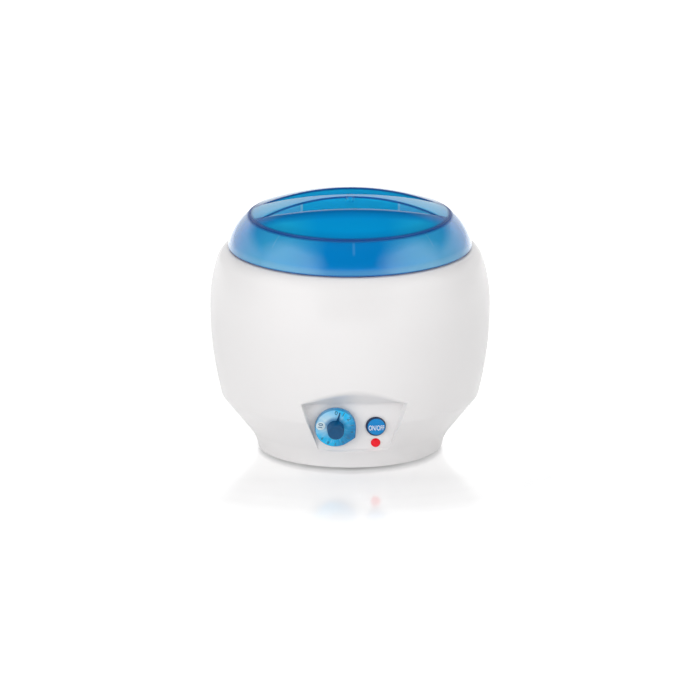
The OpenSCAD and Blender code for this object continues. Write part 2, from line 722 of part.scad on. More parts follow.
module capillary_tube() color([0.8, 0.45, 0.25]) tube(route([
    [-sensor_l / 2 - 0.4, sensor_y, under_well_z], [-sensor_l / 2 - 5, sensor_y, under_well_z - 1],
    [sensor_hole[0], sensor_y, shield_z + 1], [sensor_hole[0], sensor_y - 3, shield_z - 8],
    at_panel(dial_x, dial_z, -6, 8, -thermo_back - 7), at_panel(dial_x, dial_z, -6, 8, -thermo_back - 0.4)], 4), 0.7);

module thermal_fuse() color([0.75, 0.76, 0.78]) {
    rod_under_well(fuse_y, under_r, fuse_l);
    rod_under_well(fuse_y, 0.6, fuse_l + 10);
}

module fuse_clip() color("silver") strap(fuse_y, under_r, 6);

module switch_body() color([0.92, 0.92, 0.9]) on_panel(button_x, button_z) difference() {
    union() {
        translate([0, 0, switch_top]) cylinder(r = switch_neck_r, h = -switch_top - wall);
        translate([-13, -2.6, -wall - 5.4]) cube([26, 5.2, 1.4]);
        translate([-7.5, -6.6, switch_top - switch_t]) cube([15, 13.2, switch_t + skin]);
        for (s = [-1, 1]) translate([s * 4 - 2.4, -0.4, switch_top - switch_t - 6]) cube([4.8, 0.8, 7]);
    }
    translate([0, 0, switch_top + 1]) cylinder(r = button_bore, h = 20);
    translate([0, 0, switch_top - 11]) cylinder(r = plunger_r + running, h = 20);
    for (s = [-1, 1]) translate([s * ear_x, 0, -20]) cylinder(r = 1.1, h = 20);
}

module switch_screws() color("silver") on_panel(button_x, button_z) for (s = [-1, 1])
    translate([s * ear_x, 0, -wall - 5.4]) rotate([180, 0, 0]) screw(0.9 - thread_fit, 4.8, 1.9, 1.2, 0.5);

module button_cap() color([0.04, 0.38, 0.68]) on_panel(button_x, button_z) difference() {
    rotate_extrude($fn = 96) polygon(concat([[0, cap_back]], [[button_r, cap_back]],
        arc([button_r - 1, button_proud - 1.5], 1, 0, 70, 4), [[button_r * 0.5, button_proud - 0.12], [0, button_proud]]));
    translate([0, 0, cap_back - 1]) cylinder(r = button_r - 1.5, h = -cap_back);
}

module button_plunger() color([0.9, 0.9, 0.9]) on_panel(button_x, button_z)
    translate([0, 0, switch_top - 7]) cylinder(r = plunger_r, h = -1 - switch_top + 7);

module button_spring() color([0.6, 0.6, 0.62]) on_panel(button_x, button_z) tube(
    [for (i = [0:spring_turns * 10]) [spring_r * cos(36 * i), spring_r * sin(36 * i),
        switch_top + 1.05 + spring_wire / 2 + i / (spring_turns * 10) * (-2.1 - switch_top - spring_wire)]],
    spring_wire / 2);

module lamp_lens() color([0.9, 0.08, 0.12]) on_panel(lamp_x, lens_z) {
    translate([0, 0, -wall - 5]) cylinder(r = lens_r, h = wall + 5.4);
    translate([0, 0, -wall - 1.2]) cylinder(r = holder_r, h = 1.2);
    intersection() {
        translate([0, 0, 1.6 - lens_dome_r]) sphere(r = lens_dome_r, $fn = 64);
        translate([0, 0, 0.3]) cylinder(r = lens_r, h = 4);
    }
}

module lamp_holder() color([0.85, 0.85, 0.83]) on_panel(lamp_x, lens_z) translate([0, 0, -wall - 1.2 - holder_l])
    difference() {
        cylinder(r = holder_r, h = holder_l);
        translate([0, 0, 1.4]) cylinder(r = lens_r + running, h = holder_l);
        for (s = [-1, 1]) translate([s * lamp_pin, 0, -1]) cylinder(r = 0.5, h = 5);
    }

module neon_lamp() color([0.95, 0.55, 0.3, 0.6]) on_panel(lamp_x, lens_z) translate([0, 0, -wall - holder_l + 0.4]) {
    cylinder(r = 2.4, h = 9);
    translate([0, 0, 9]) sphere(r = 2.4);
    for (s = [-1, 1]) translate([s * lamp_pin, 0, -3]) cylinder(r = 0.4, h = 3.1);
}

module terminal_block() color([0.92, 0.9, 0.82]) difference() {
    translate([-block[0] / 2, block_y - block[1] / 2, plate_top]) cube(block);
    for (i = [-1:1]) {
        translate([i * block_pitch, block_y + 20, block_port_z]) rotate([90, 0, 0]) cylinder(r = 1.7, h = 40);
        for (s = [-1, 1]) translate([i * block_pitch, block_y + s * 4, block_port_z]) cylinder(r = 1.5, h = 20);
    }
    for (i = [-0.5, 0.5]) translate([i * block_pitch, block_y, 0]) cylinder(r = 1.4, h = 40);
}

module terminal_screws() color([0.85, 0.7, 0.4]) for (i = [-1:1]) for (s = [-1, 1])
    translate([i * block_pitch, block_y + s * 4, plate_top + block[2] - 1]) screw(1.5 - thread_fit, 3.6, 1.45, 0.6, 0.4);

module cord_gland() color([0.2, 0.2, 0.2]) difference() {
    translate([0, gland_boss_y, gland_z]) rotate([90, 0, 0]) {
        translate([0, 0, -gland_flange_t]) cylinder(r1 = gland_boss_r - 1, r2 = gland_boss_r - 0.3, h = gland_flange_t);
        cylinder(r = gland_bush_r - thread_fit, h = gland_bore_l + 2);
    }
    translate([0, body_r, gland_z]) rotate([90, 0, 0]) cylinder(d = gland_bore, h = 60);
}

// Place in the part's frame of a point at x, up and out from a spot on the panel
function at_panel(x, z, dx, up, out) = [x + dx,
    -panel_foot_y - (z - panel_low) * panel_tan - up * sin(panel_lean) - out * cos(panel_lean),
    z + up * cos(panel_lean) - out * sin(panel_lean)];

function port(i, back) = [i * block_pitch, block_y + back * (block[1] / 2 + end_gap), block_port_z];
function heater_stud(s, out) = [s * (heater_out + out) * sin(stud_angle), (heater_out + out) * cos(stud_angle), stud_z];
function switch_blade(s, out) = at_panel(button_x, button_z, s * 4, 0, switch_top - switch_t - 6 - out);
function thermo_blade(i, out) =
    at_panel(dial_x, dial_z, thermo_blades[i][0], thermo_blades[i][1], -thermo_back - blade_l - out);
function lamp_back(s, out) = at_panel(lamp_x, lens_z, s * lamp_pin, 0, -wall - 1.2 - holder_l - 1.4 - out);

module lead(colour, points, steps = 4) {
    color(colour) tube(route(points, steps), lead_r);
}

module lead_live() lead([0.45, 0.25, 0.12], [port(-1, -1), port(-1, -1) + [0, -7, 0], [-2, -5, 20],
    [19, -26, 34], switch_blade(1, 7), switch_blade(1, end_gap)]);

module lead_link() lead([0.1, 0.1, 0.1], [switch_blade(-1, end_gap), switch_blade(-1, 6), [2, -35, 42],
    thermo_blade(0, 7), thermo_blade(0, end_gap)]);

module lead_feed() lead([0.7, 0.12, 0.1], [thermo_blade(1, end_gap), thermo_blade(1, 8), [-8, -18, 44], [12, 2, 46],
    [feed_hole[0], feed_hole[1], shield_z - 3], [feed_hole[0], feed_hole[1] + 1, shield_z + 4],
    [20, fuse_y, under_well_z], [fuse_end, fuse_y, under_well_z]], 3);

module lead_heater() lead([0.7, 0.12, 0.1], [[-fuse_end, fuse_y, under_well_z], [-18, fuse_y, under_well_z],
    [-24, 48, under_well_z], [-24, well_edge_y, under_well_z], [-24, heater_out + 6, stud_z - 11],
    heater_stud(-1, heater_stud_l + 5), heater_stud(-1, heater_stud_l + 0.4)], 3);

module lead_neutral() lead([0.1, 0.25, 0.6], [heater_stud(1, heater_stud_l + 0.4), heater_stud(1, heater_stud_l + 5), [24, heater_out + 10, stud_z - 11],
    [20, heater_out + 7, 56], [17, 70, 36], port(1, 1) + [2, 10, 5], port(1, 1) + [0, 4, 0], port(1, 1)], 3);

module lead_earth() lead([0.2, 0.6, 0.2], [[0, tag_l + 5.2, shield_z - 1.5], [0, tag_l + 9, shield_z - 3], [0, tag_l + 11, 40],
    [0, 22, 22], port(0, -1) + [0, -4.5, 1], port(0, -1)]);

module lamp_leads() {
    lead([0.1, 0.25, 0.6], [lamp_back(1, end_gap), lamp_back(2, 6), [20, -20, 18], [14, 8, 13],
        port(1, -1) + [0, -6, 0], port(1, -1)], 3);
    lead([0.1, 0.1, 0.1], [lamp_back(-1, end_gap), lamp_back(-2, 6), [0, -40, 29],
        thermo_blade(2, 7), thermo_blade(2, end_gap)], 3);
}

outer_housing();
base_plate();
rubber_feet();
base_screws();
heating_well();
well_seal();
wax_bowl();
lid();
band_heater();
heater_clamp_screw();
insulation_wrap();
heat_shield();
shield_screws();
well_spacer();
earth_tag();
well_nut();
thermostat_body();
thermostat_screws();
thermostat_shaft();
dial();
dial_hub();
sensor_bulb();
capillary_tube();
sensor_clip();
thermal_fuse();
fuse_clip();
switch_body();
switch_screws();
button_cap();
button_plunger();
button_spring();
lamp_lens();
lamp_holder();
neon_lamp();
terminal_block();
terminal_screws();
cord_gland();
lead_live();
lead_link();
lead_feed();
lead_heater();
lead_neutral();
lead_earth();
lamp_leads();
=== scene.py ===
"""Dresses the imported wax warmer: its housing, lid, dial, button, lens, bowl, well and the pieces inside."""

import json
import math

import bmesh
import bpy
import numpy as np
from bpy.props import FloatProperty, FloatVectorProperty, IntProperty, PointerProperty
from bpy.types import Operator, Panel, PropertyGroup
from mathutils import Matrix, Vector


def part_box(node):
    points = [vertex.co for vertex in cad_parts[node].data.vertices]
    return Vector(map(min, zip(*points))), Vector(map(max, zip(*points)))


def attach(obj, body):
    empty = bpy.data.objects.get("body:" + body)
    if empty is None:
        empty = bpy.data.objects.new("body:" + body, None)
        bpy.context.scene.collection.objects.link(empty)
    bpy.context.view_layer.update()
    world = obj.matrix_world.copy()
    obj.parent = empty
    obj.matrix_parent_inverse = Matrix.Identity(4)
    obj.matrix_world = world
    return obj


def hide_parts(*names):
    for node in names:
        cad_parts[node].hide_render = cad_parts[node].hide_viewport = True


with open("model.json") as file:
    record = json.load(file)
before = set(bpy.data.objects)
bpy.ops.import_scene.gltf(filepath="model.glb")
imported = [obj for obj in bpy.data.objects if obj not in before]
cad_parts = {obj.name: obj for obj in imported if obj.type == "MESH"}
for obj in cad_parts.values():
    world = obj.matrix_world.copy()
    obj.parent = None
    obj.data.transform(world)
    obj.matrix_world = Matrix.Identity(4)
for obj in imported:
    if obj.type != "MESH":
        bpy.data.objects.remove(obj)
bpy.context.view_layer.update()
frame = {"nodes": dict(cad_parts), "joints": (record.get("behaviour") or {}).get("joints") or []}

bl_info = {
    "name": "Wax Warmer Finish",
    "version": (1, 0, 0),
    "blender": (4, 5, 0),
    "location": "View3D > Sidebar > Wax Warmer",
    "description": "Models and finishes the visible pieces of a wax warmer round its packed frame",
    "category": "Object",
}

MM = 0.001
FACETS = 96
QUARTER = math.pi / 2
TINY = 1e-7
FINE_STEP = 0.12 * MM

# Spacing of the points: heights between which the housing's recess lies, degrees from its front as
# (from, to, step), the columns round the rest of it, and the counts for the lid and the dial
RECESS_BAND = (7 * MM, 74 * MM)
FRONT_STEPS = ((0, 15, 0.5), (15, 27, 0.1), (27, 35, 0.5))
REST_COLUMNS = 118
LID_COLUMNS = 180
SKIRT_ROWS = 22
DIAL_COLUMNS = 180

# Degrees at which the dial's numbers and the hub's pointer stand
FIRST_NUMBER, NUMBER_STEP, HIGHEST_NUMBER, POINTER = 88, 25.4, 168.6, 76

# Places that the frame fixes
HOUSING_LOW, HOUSING_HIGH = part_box("outer_housing")
LID_LOW, LID_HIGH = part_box("lid")
BOWL_LOW, BOWL_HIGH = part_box("wax_bowl")
DIAL_JOINT = next(joint for joint in frame["joints"] if joint["name"] == "dial_turn")
PANEL_OUT = Vector(DIAL_JOINT["axis"]).normalized()
PANEL_UP = Vector((0, PANEL_OUT.z, -PANEL_OUT.y))
DIAL_CENTRE = Vector(DIAL_JOINT["pos_m"])


def on_panel(node):
    """The middle of a node's box, moved square onto the face of the control panel."""
    low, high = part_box(node)
    point = (low + high) / 2
    return point - PANEL_OUT * (point - DIAL_CENTRE).dot(PANEL_OUT)


BUTTON_CENTRE = on_panel("button_cap")
LENS_CENTRE = on_panel("lamp_lens")


def number(name, description, default, low, high, **kind):
    """A number property with its limits."""
    return FloatProperty(name=name, description=description, default=default, min=low, max=high, **kind)


def length(name, description, *values):
    """A length property given in millimetres and held in metres."""
    return number(name, description, *(value * MM for value in values), unit="LENGTH", precision=4)


def angle(name, description, *values):
    """An angle property given in degrees and held in radians."""
    return number(name, description, *map(math.radians, values), subtype="ANGLE")


def factor(name, description, default):
    """A plain factor."""
    return number(name, description, default, 0, 2, subtype="FACTOR")


def power(name, description, default):
    """A lamp's power in watts."""
    return number(name, description, default, 0, 500, unit="POWER")


def colour(name, description, *shade):
    """A colour property."""
    return FloatVectorProperty(
        name=name, description=description, default=shade, min=0, max=1, size=3, subtype="COLOR"
    )


class HousingSettings(PropertyGroup):
    """Sizes and colour of the barrel housing."""

    equator: length("Equator", "Height of the widest part", 110.4, 106, 114)
    upper_radius: length("Upper radius", "Radius of the side above the equator", 110, 100, 125)
    shoulder_from: angle("Shoulder from", "Where the side turns into the shoulder", 18, 15, 21)
    shoulder_radius: length("Shoulder radius", "Radius of the shoulder", 14.2, 12, 17)
    lower_radius: length("Lower radius", "Radius of the side below the equator", 272, 240, 310)
    waist_angle: angle("Waist angle", "Slope of the waist from upright", 39, 36, 42)
    waist_corner: length("Waist corner", "Radius between side and waist", 9, 3, 12)
    foot_curve: length("Foot curve", "Radius of the hollow curve above the foot", 29.4, 26, 36)
    foot_lean: angle("Foot lean", "Lean of the foot from upright", 8, 4, 12)
    foot_radius: length("Foot radius", "Radius of the foot", 68, 66, 70)
    wall: length("Wall", "Thickness of the wall", 2.6, 2.2, 3.2)
    seat_radius: length("Seat radius", "Radius of the seat for the well's flange", 84.2, 80, 86)
    mouth_radius: length("Mouth radius", "Radius of the opening in the top", 73.5, 72, 75)
    seat_depth: length("Seat depth", "Depth of the seat under the land", 2.4, 2, 3)
    colour: colour("Colour", "White of the housing", 0.86, 0.845, 0.845)


class RecessSettings(PropertyGroup):
    """Sizes of the hooded control recess."""

    low: length("Lower edge", "Height of the panel's lower edge", 16.7, 15.5, 17.5)
    high: length("Upper edge", "Height of the panel's upper edge", 54.3, 54, 56)
    low_half: length("Half width below", "Half width at the lower edge", 25.8, 24, 28)
    high_half: length("Half width above", "Half width at the upper edge", 36.9, 34, 38.5)
    reach: length("Reach", "Distance from the panel to the mouth's outline", 26, 24, 28)
    rise_middle: length("Rise in the middle", "Rise of the hood over its reach", 22.1, 20, 24)
    rise_end: length("Rise at the ends", "Rise of the hood at its ends", 9.5, 8, 12)
    spread: length("Spread", "Spread of the hood over its reach", 2.0, 0.5, 6)
    wall_spread: length("Wall spread", "Spread of the side walls over their reach", 1.6, 1, 12)
    soft_edge: length("Soft edge", "How softly the recess meets the side", 4.5, 1, 8)
    soft_corner: length("Soft corner", "How softly panel, walls and hood meet", 2.2, 0.5, 4)


class LidSettings(PropertyGroup):
    """Sizes and colour of the lid."""

    rim_radius: length("Rim radius", "Radius where skirt and dome meet", 74.4, 73, 76)
    skirt_height: length("Skirt height", "Height of the rim over the lower edge", 23.8, 21, 27)
    skirt_radius: length("Skirt radius", "Radius of the skirt's curve", 38, 34, 60)
    wall: length("Wall", "Thickness of the lid", 2.4, 2, 3)
    pocket_half: length("Pocket half length", "Half the length of a finger pocket", 64.3, 55, 67)
    tip: length("Tip", "Distance of the pockets' tips from the middle", 18, 16, 20)
    far: length("Far wall", "Distance of a pocket's far wall from the middle", 29, 26, 33)
    web_half: length("Web half width", "Half the width of the web", 3.5, 3, 4.5)
    pocket_depth: length("Pocket depth", "Depth of the pockets' floor", 11.2, 9, 12.5)
    pocket_wall: length("Pocket wall", "Thickness of the pockets' walls", 2.2, 1.6, 2.6)
    ring_outer: length("Ring radius", "Outer radius of the ring under the rim", 73.4, 72, 74)
    ring_wall: length("Ring wall", "Thickness of the ring", 1.8, 1.4, 2.2)
    rib_x: length("Web rib", "Distance of the web's cross ribs from the middle", 36, 30, 42)
    gussets: IntProperty(name="Gussets", description="Stiffening ribs in the skirt", default=8, min=4, max=16)
    gusset_height: length("Gusset height", "Height of the gussets under the rim", 9, 7, 14)
    colour: colour("Colour", "Blue of the plastic", 0.0, 0.47, 1.0)
    # Painted shade: the blue painted along the rim, the pockets' lips and the lower edge, towards the rim and in a
    # band outside the far lips
    deep_colour: colour("Deep colour", "Blue along the rim and the lips", 0.0, 0.1, 0.4)
    # Painted light: the blue painted on the web's top, the walls past the ribs, lines at the ribs and gussets, the
    # skirt's patches and a band above the lower edge
    pale_colour: colour("Pale colour", "Blue on the web's top and its ribs", 0.36, 0.78, 1.0)
    # Painted shade: a darker shaded copy of the lid's blue, given to the skirt
    skirt_colour: colour("Skirt colour", "Blue of the skirt", 0.0, 0.31, 0.8)
    # Painted light: a lighter lit copy of the lid's blue, given to the pockets' surfaces and, most of the way, to the
    # dome's flanks
    pocket_colour: colour("Pocket colour", "Blue inside the pockets", 0.02, 0.63, 1.0)
    core_colour: colour("Core colour", "Blue of the plate inside the web", 0.0, 0.4, 0.8)


class ControlSettings(PropertyGroup):
    """Sizes and colours of the dial, the button and the lamp lens."""

    dial_radius: length("Dial radius", "Radius of the dial", 15.2, 14.5, 15.7)
    dial_gap: length("Dial gap", "Gap between the dial and the panel", 1.4, 1, 2)
    dial_height: length("Dial height", "Thickness of the dial", 5, 4, 5.6)
    beak_reach: length("Beak reach", "Reach of the beak from the dial's middle", 16.9, 16.4, 17)
    beak_angle: angle("Beak angle", "Direction of the beak", -29, -60, 0)
    hub_low: length("Hub foot radius", "Radius of the hub where it meets the dial", 6.5, 6, 7.6)
    hub_high: length("Hub top radius", "Radius of the hub's face", 5.9, 5, 6.4)
    hub_height: length("Hub height", "Height of the hub over the dial", 7, 5, 8)
    button_radius: length("Button radius", "Radius of the button", 7.2, 6.3, 7.3)
    button_proud: length("Button proud", "How far the button stands out", 3.2, 3, 4)
    lens_radius: length("Lens radius", "Radius of the lens", 3.45, 3, 3.5)
    dial_colour: colour("Dial", "Blue of the dial", 0.0, 0.56, 1.0)
    # The pale blue of the random streaks, and of the painted highlight at the dial's upper left
    dial_pale: colour("Dial, pale", "Blue of the dial where light passes it", 0.86, 0.98, 1.0)
    # Painted shade: the blue painted towards the beak, along the dial's edge and round the hub's upper side
    dial_deep: colour("Dial, deep", "Blue of the dial's beak", 0.0, 0.2, 0.5)
    hub_colour: colour("Hub", "Navy of the hub", 0.0, 0.075, 0.2)
    button_colour: colour("Button", "Blue of the button", 0.0, 0.24, 0.62)
    # Painted shade: a dark navy copy of the button's plastic, for the key round its face
    button_dark: colour("Button, dark", "Navy of the button's shoulder", 0.0, 0.02, 0.085)
    lens_colour: colour("Lens", "Red of the lens", 0.88, 0.002, 0.014)


class StageSettings(PropertyGroup):
    """Camera and lamps."""

    azimuth: angle("Azimuth", "Camera's direction round the warmer", -2, -180, 180)
    elevation: angle("Elevation", "Camera's height over the horizon", 15.5, 0, 90)
    distance: length("Distance", "Camera's distance", 20000, 500, 30000)
    aim: length("Aim", "Height of the point in the middle of the picture", 73.6, 0, 200)
    view_width: length("View width", "Width of the picture at the warmer", 518, 200, 1000)
    ambient: factor("Ambient", "Level of the room's light", 0.24)
    overhead: factor("Overhead", "Level that gloss shows overhead", 0.02)
    sides: factor("Sides", "Level that gloss shows to the left and right", 1.6)
    front: factor("Front dark", "How much darker gloss sees the room in front", 0.85)
    table: factor("Table", "Albedo of the table", 0.93)
    table_lift: factor("Table lift", "Level added to the seen table round the warmer", 0.165)
    table_open: factor("Open table lift", "Level added to the seen table further out", 0.4)
    table_far: factor("Far table lift", "Level added to the seen table in the background", 0.9)
    left_power: power("Left", "Power of the left softbox", 13)
    right_power: power("Right", "Power of the right softbox", 8)
    front_power: power("Front", "Power of the front fill", 8)
    top_power: power("Top", "Power of the overhead softbox", 15)


class Value:
    """A shader socket that takes part in arithmetic."""

    def __init__(self, finish, socket):
        self.finish = finish
        self.socket = socket

    def math(self, operation, *others, clamp=False):
        """The result of a Math node on this value and others."""
        values = dict(enumerate((self, *others)))
        return self.finish.node("ShaderNodeMath", values, operation=operation, use_clamp=clamp)

    def __add__(self, other):
        return self.math("ADD", other)

    __radd__ = __add__

    def __sub__(self, other):
        return self.math("SUBTRACT", other)

    def __rsub__(self, other):
        return self.finish.node("ShaderNodeMath", {0: other, 1: self}, operation="SUBTRACT")

    def __mul__(self, other):
        return self.math("MULTIPLY", other)

    __rmul__ = __mul__

    def __truediv__(self, other):
        return self.math("DIVIDE", other)

    def __pow__(self, other):
        return self.math("POWER", other)

    def __abs__(self):
        return self.math("ABSOLUTE")

    def clamped(self):
        """The value held between 0 and 1."""
        return self.math("MULTIPLY", 1.0, clamp=True)

    def most(self, other):
        """The greater of two values."""
        return self.math("MAXIMUM", other)

    def least(self, other):
        """The lesser of two values."""
        return self.math("MINIMUM", other)

    def above(self, edge, softness):
        """1 above an edge and 0 below, with a soft step."""
        return ((self - (edge - softness / 2)) / softness).clamped()

    def below(self, edge, softness):
        """1 below an edge and 0 above, with a soft step."""
        return 1 - self.above(edge, softness)


def distance(first, *others):
    """Length of a step whose parts are shader values."""
    total = first * first
    for part in others:
        total = total + part * part
    return total**0.5


class Finish:
    """One material, or the world, and its nodes."""

    def __init__(self, name, kind=None):
        self.material = (bpy.data.materials if kind is None else kind).new(name)
        self.material.use_nodes = True
        self.tree = self.material.node_tree
        self.tree.nodes.clear()

    def node(self, kind, values=None, out=(0,), **settings):
        """Adds a node, sets it up, fills its sockets and gives the outputs asked for."""
        node = self.tree.nodes.new(kind)
        for name, value in settings.items():
            setattr(node, name, value)
        for key, value in (values or {}).items():
            socket = node.inputs[key]
            if isinstance(value, Value):
                self.tree.links.new(value.socket, socket)
            elif socket.type == "RGBA" and len(value) == 3:
                socket.default_value = (*value, 1.0)
            else:
                socket.default_value = value
        given = [Value(self, node.outputs[key]) for key in out]
        return given[0] if len(given) == 1 else given

    def vector(self, operation, first, second=(0, 0, 0), out=0):
        """The result of a Vector Math node."""
        return self.node("ShaderNodeVectorMath", {0: first, 1: second}, (out,), operation=operation)

    def place(self):
        """Coordinates of the surface in the object's own space, which is the frame."""
        return self.node("ShaderNodeTexCoord", out=("Object",))

    def split(self, vector):
        """The three parts of a vector."""
        return self.node("ShaderNodeSeparateXYZ", {0: vector}, (0, 1, 2))

    def noise(self, vector, scale, detail=2.0, roughness=0.5):
        """Smooth noise round 0.5, with one scale or one for each axis."""
        if isinstance(scale, tuple):
            vector, scale = self.vector("MULTIPLY", vector, scale), 1.0
        values = {"Vector": vector, "Scale": scale, "Detail": detail, "Roughness": roughness}
        return self.node("ShaderNodeTexNoise", values, ("Fac",))

    def mix(self, factor, first, second):
        """A colour between two."""
        return self.node("ShaderNodeMix", {0: factor, 6: first, 7: second}, (2,), data_type="RGBA")

    def bump(self, height, strength, distance):
        """A normal roughened by a height."""
        return self.node("ShaderNodeBump", {"Height": height, "Strength": strength, "Distance": distance})

    def principled(self, **sockets):
        """A Principled shader, its sockets named with _ for a space."""
        values = {name.replace("_", " "): value for name, value in sockets.items()}
        return self.node("ShaderNodeBsdfPrincipled", values)

    def surface(self, **sockets):
        """Ends the material in a Principled shader."""
        return self.output(self.principled(**sockets))

    def blended(self, factor, first, second):
        """A mix of two shaders."""
        return self.node("ShaderNodeMixShader", {0: factor, 1: first, 2: second})

    def seen(self):
        """1 for rays straight from the camera or through glass, and 1 for rays by gloss."""
        rays = ("Is Camera Ray", "Is Glossy Ray", "Is Transmission Ray")
        camera, gloss, through = self.node("ShaderNodeLightPath", out=rays)
        return camera.most(through), gloss

    def output(self, shader, volume=None, kind="ShaderNodeOutputMaterial"):
        """Links the shader, and the volume if there is one, to the output."""
        self.node(kind, {"Surface": shader, "Volume": volume} if volume else {"Surface": shader}, ())
        return self.material


def tinted(shade, share, added=0.0):
    """A shade made lighter or darker."""
    return tuple(min(1.0, part * share + added) for part in shade)


def housing_plastic(shade):
    """Glossy white moulded plastic with a faint flow tint and orange peel."""
    finish = Finish("housing_plastic")
    place = finish.place()
    return finish.surface(
        Base_Color=finish.mix(finish.noise(place, 9.0), tinted(shade, 0.985), tinted(shade, 1.012)),
        Roughness=0.3 + finish.noise(place, 60.0, 3.0) * 0.08,
        Coat_Weight=0.45,
        Coat_Roughness=0.12,
        Coat_IOR=1.5,
        IOR=1.46,
        Normal=finish.bump(finish.noise(place, 420.0), 0.05, 0.0002),
    )


def grained(name, dark, light, cloud, grain, gloss, relief=None, **fixed):
    """A finish clouded between two shades, with a grain in its roughness and relief.

    cloud and grain are a noise's scale and detail, gloss is the least roughness and its
    spread, and relief is a bump's strength and distance.
    """
    finish = Finish(name)
    place = finish.place()
    tint = finish.noise(place, *cloud)
    fine = finish.noise(place, *grain) if grain else tint
    if relief:
        fixed["Normal"] = finish.bump(fine, *relief)
    return finish.surface(
        Base_Color=finish.mix(tint, dark, light), Roughness=gloss[0] + fine * gloss[1], **fixed
    )


def moulded_plastic(name, shade, roughness=0.35, grain=900.0, strength=0.12):
    """Plain moulded plastic with a fine grain."""
    shades = tinted(shade, 0.93), tinted(shade, 1.05)
    return grained(name, *shades, (40.0, 3.0), (grain,), (roughness, 0.1), (strength, 0.0002), IOR=1.48)


def glossy_plastic(name, shade, roughness, glow=0.0):
    """Glossy coloured plastic, with a faint glow where a lamp is behind it."""
    shades = tinted(shade, 0.92), tinted(shade, 1.06)
    coat = {"IOR": 1.49, "Specular_IOR_Level": 0.2, "Coat_Weight": 0.3, "Coat_Roughness": 0.05}
    light = {"Emission_Color": tuple(shade), "Emission_Strength": glow}
    return grained(name, *shades, (300.0,), None, (roughness, 0.06), **coat, **light)


def print_ink(name, shade):
    """Printed lettering."""
    return grained(name, tinted(shade, 0.9), shade, (2500.0,), None, (0.4, 0.1))


def plain_metal(name, shade, roughness=0.32):
    """Plated or drawn metal with fine scratches."""
    scratches = ((1200.0, 1200.0, 120.0),)
    return grained(
        name, tinted(shade, 0.86), shade, scratches, None, (roughness, 0.15), (0.08, 0.0001), Metallic=1.0
    )


def silicone(name, shade):
    """Soft matt rubber."""
    return grained(name, shade, tinted(shade, 1.3, 0.02), (90.0, 4.0), (1500.0,), (0.62, 0.2), (0.2, 0.0002))


def lamp_glass():
    """Thin glass of the neon lamp, with an orange cast."""
    shades = (1.0, 0.55, 0.32), (1.0, 0.7, 0.5)
    return grained("lamp_glass", *shades, (900.0, 1.0), None, (0.04, 0.04), Transmission_Weight=0.9, IOR=1.47)


def felt(name, shade):
    """Pressed fibre felt."""
    finish = Finish(name)
    place = finish.place()
    fibre = finish.noise(place, (700.0, 700.0, 2200.0), 4.0, 0.7)
    tuft = finish.noise(place, 350.0, 3.0)
    return finish.surface(
        Base_Color=finish.mix(fibre, tinted(shade, 0.72), shade),
        Roughness=0.95,
        Sheen_Weight=0.3,
        Normal=finish.bump(fibre + tuft, 0.5, 0.0008),
    )


def spun_metal(name, shade, roughness, ring_scale=900.0, cup=None):
    """Spun sheet metal with rings round the upright axis, and a duller outside where it is a cup.

    cup holds the wall's radius, the corner's radius, half the wall, and the lowest and highest point.
    """
    finish = Finish(name)
    place = finish.place()
    x, y, z = finish.split(place)
    radius = distance(x, y)
    profile = finish.node("ShaderNodeCombineXYZ", {0: radius * ring_scale, 1: z * ring_scale, 2: 0.0})
    rings = finish.noise(profile, 1.0)
    stain = finish.noise(place, 30.0, 4.0)
    base = finish.mix(rings, tinted(shade, 0.9), shade)
    if cup:
        outer, corner, half_wall, low, top = cup
        turn = distance(radius - outer + corner, z - low - corner).above(corner - half_wall, half_wall / 2)
        turn = turn * radius.above(outer - corner, MM) * z.below(low + corner, MM)
        side = radius.above(outer - half_wall, half_wall / 2) * z.below(top - half_wall * 2, half_wall)
        outside = side.most(turn).most(z.below(low + half_wall, half_wall / 2))
        base = finish.mix(outside, base, tinted(shade, 0.6))
    return finish.surface(
        Base_Color=base,
        Metallic=1.0,
        Roughness=roughness + rings * 0.12 + stain * 0.08,
        Normal=finish.bump(rings, 0.1, 0.0001),
    )


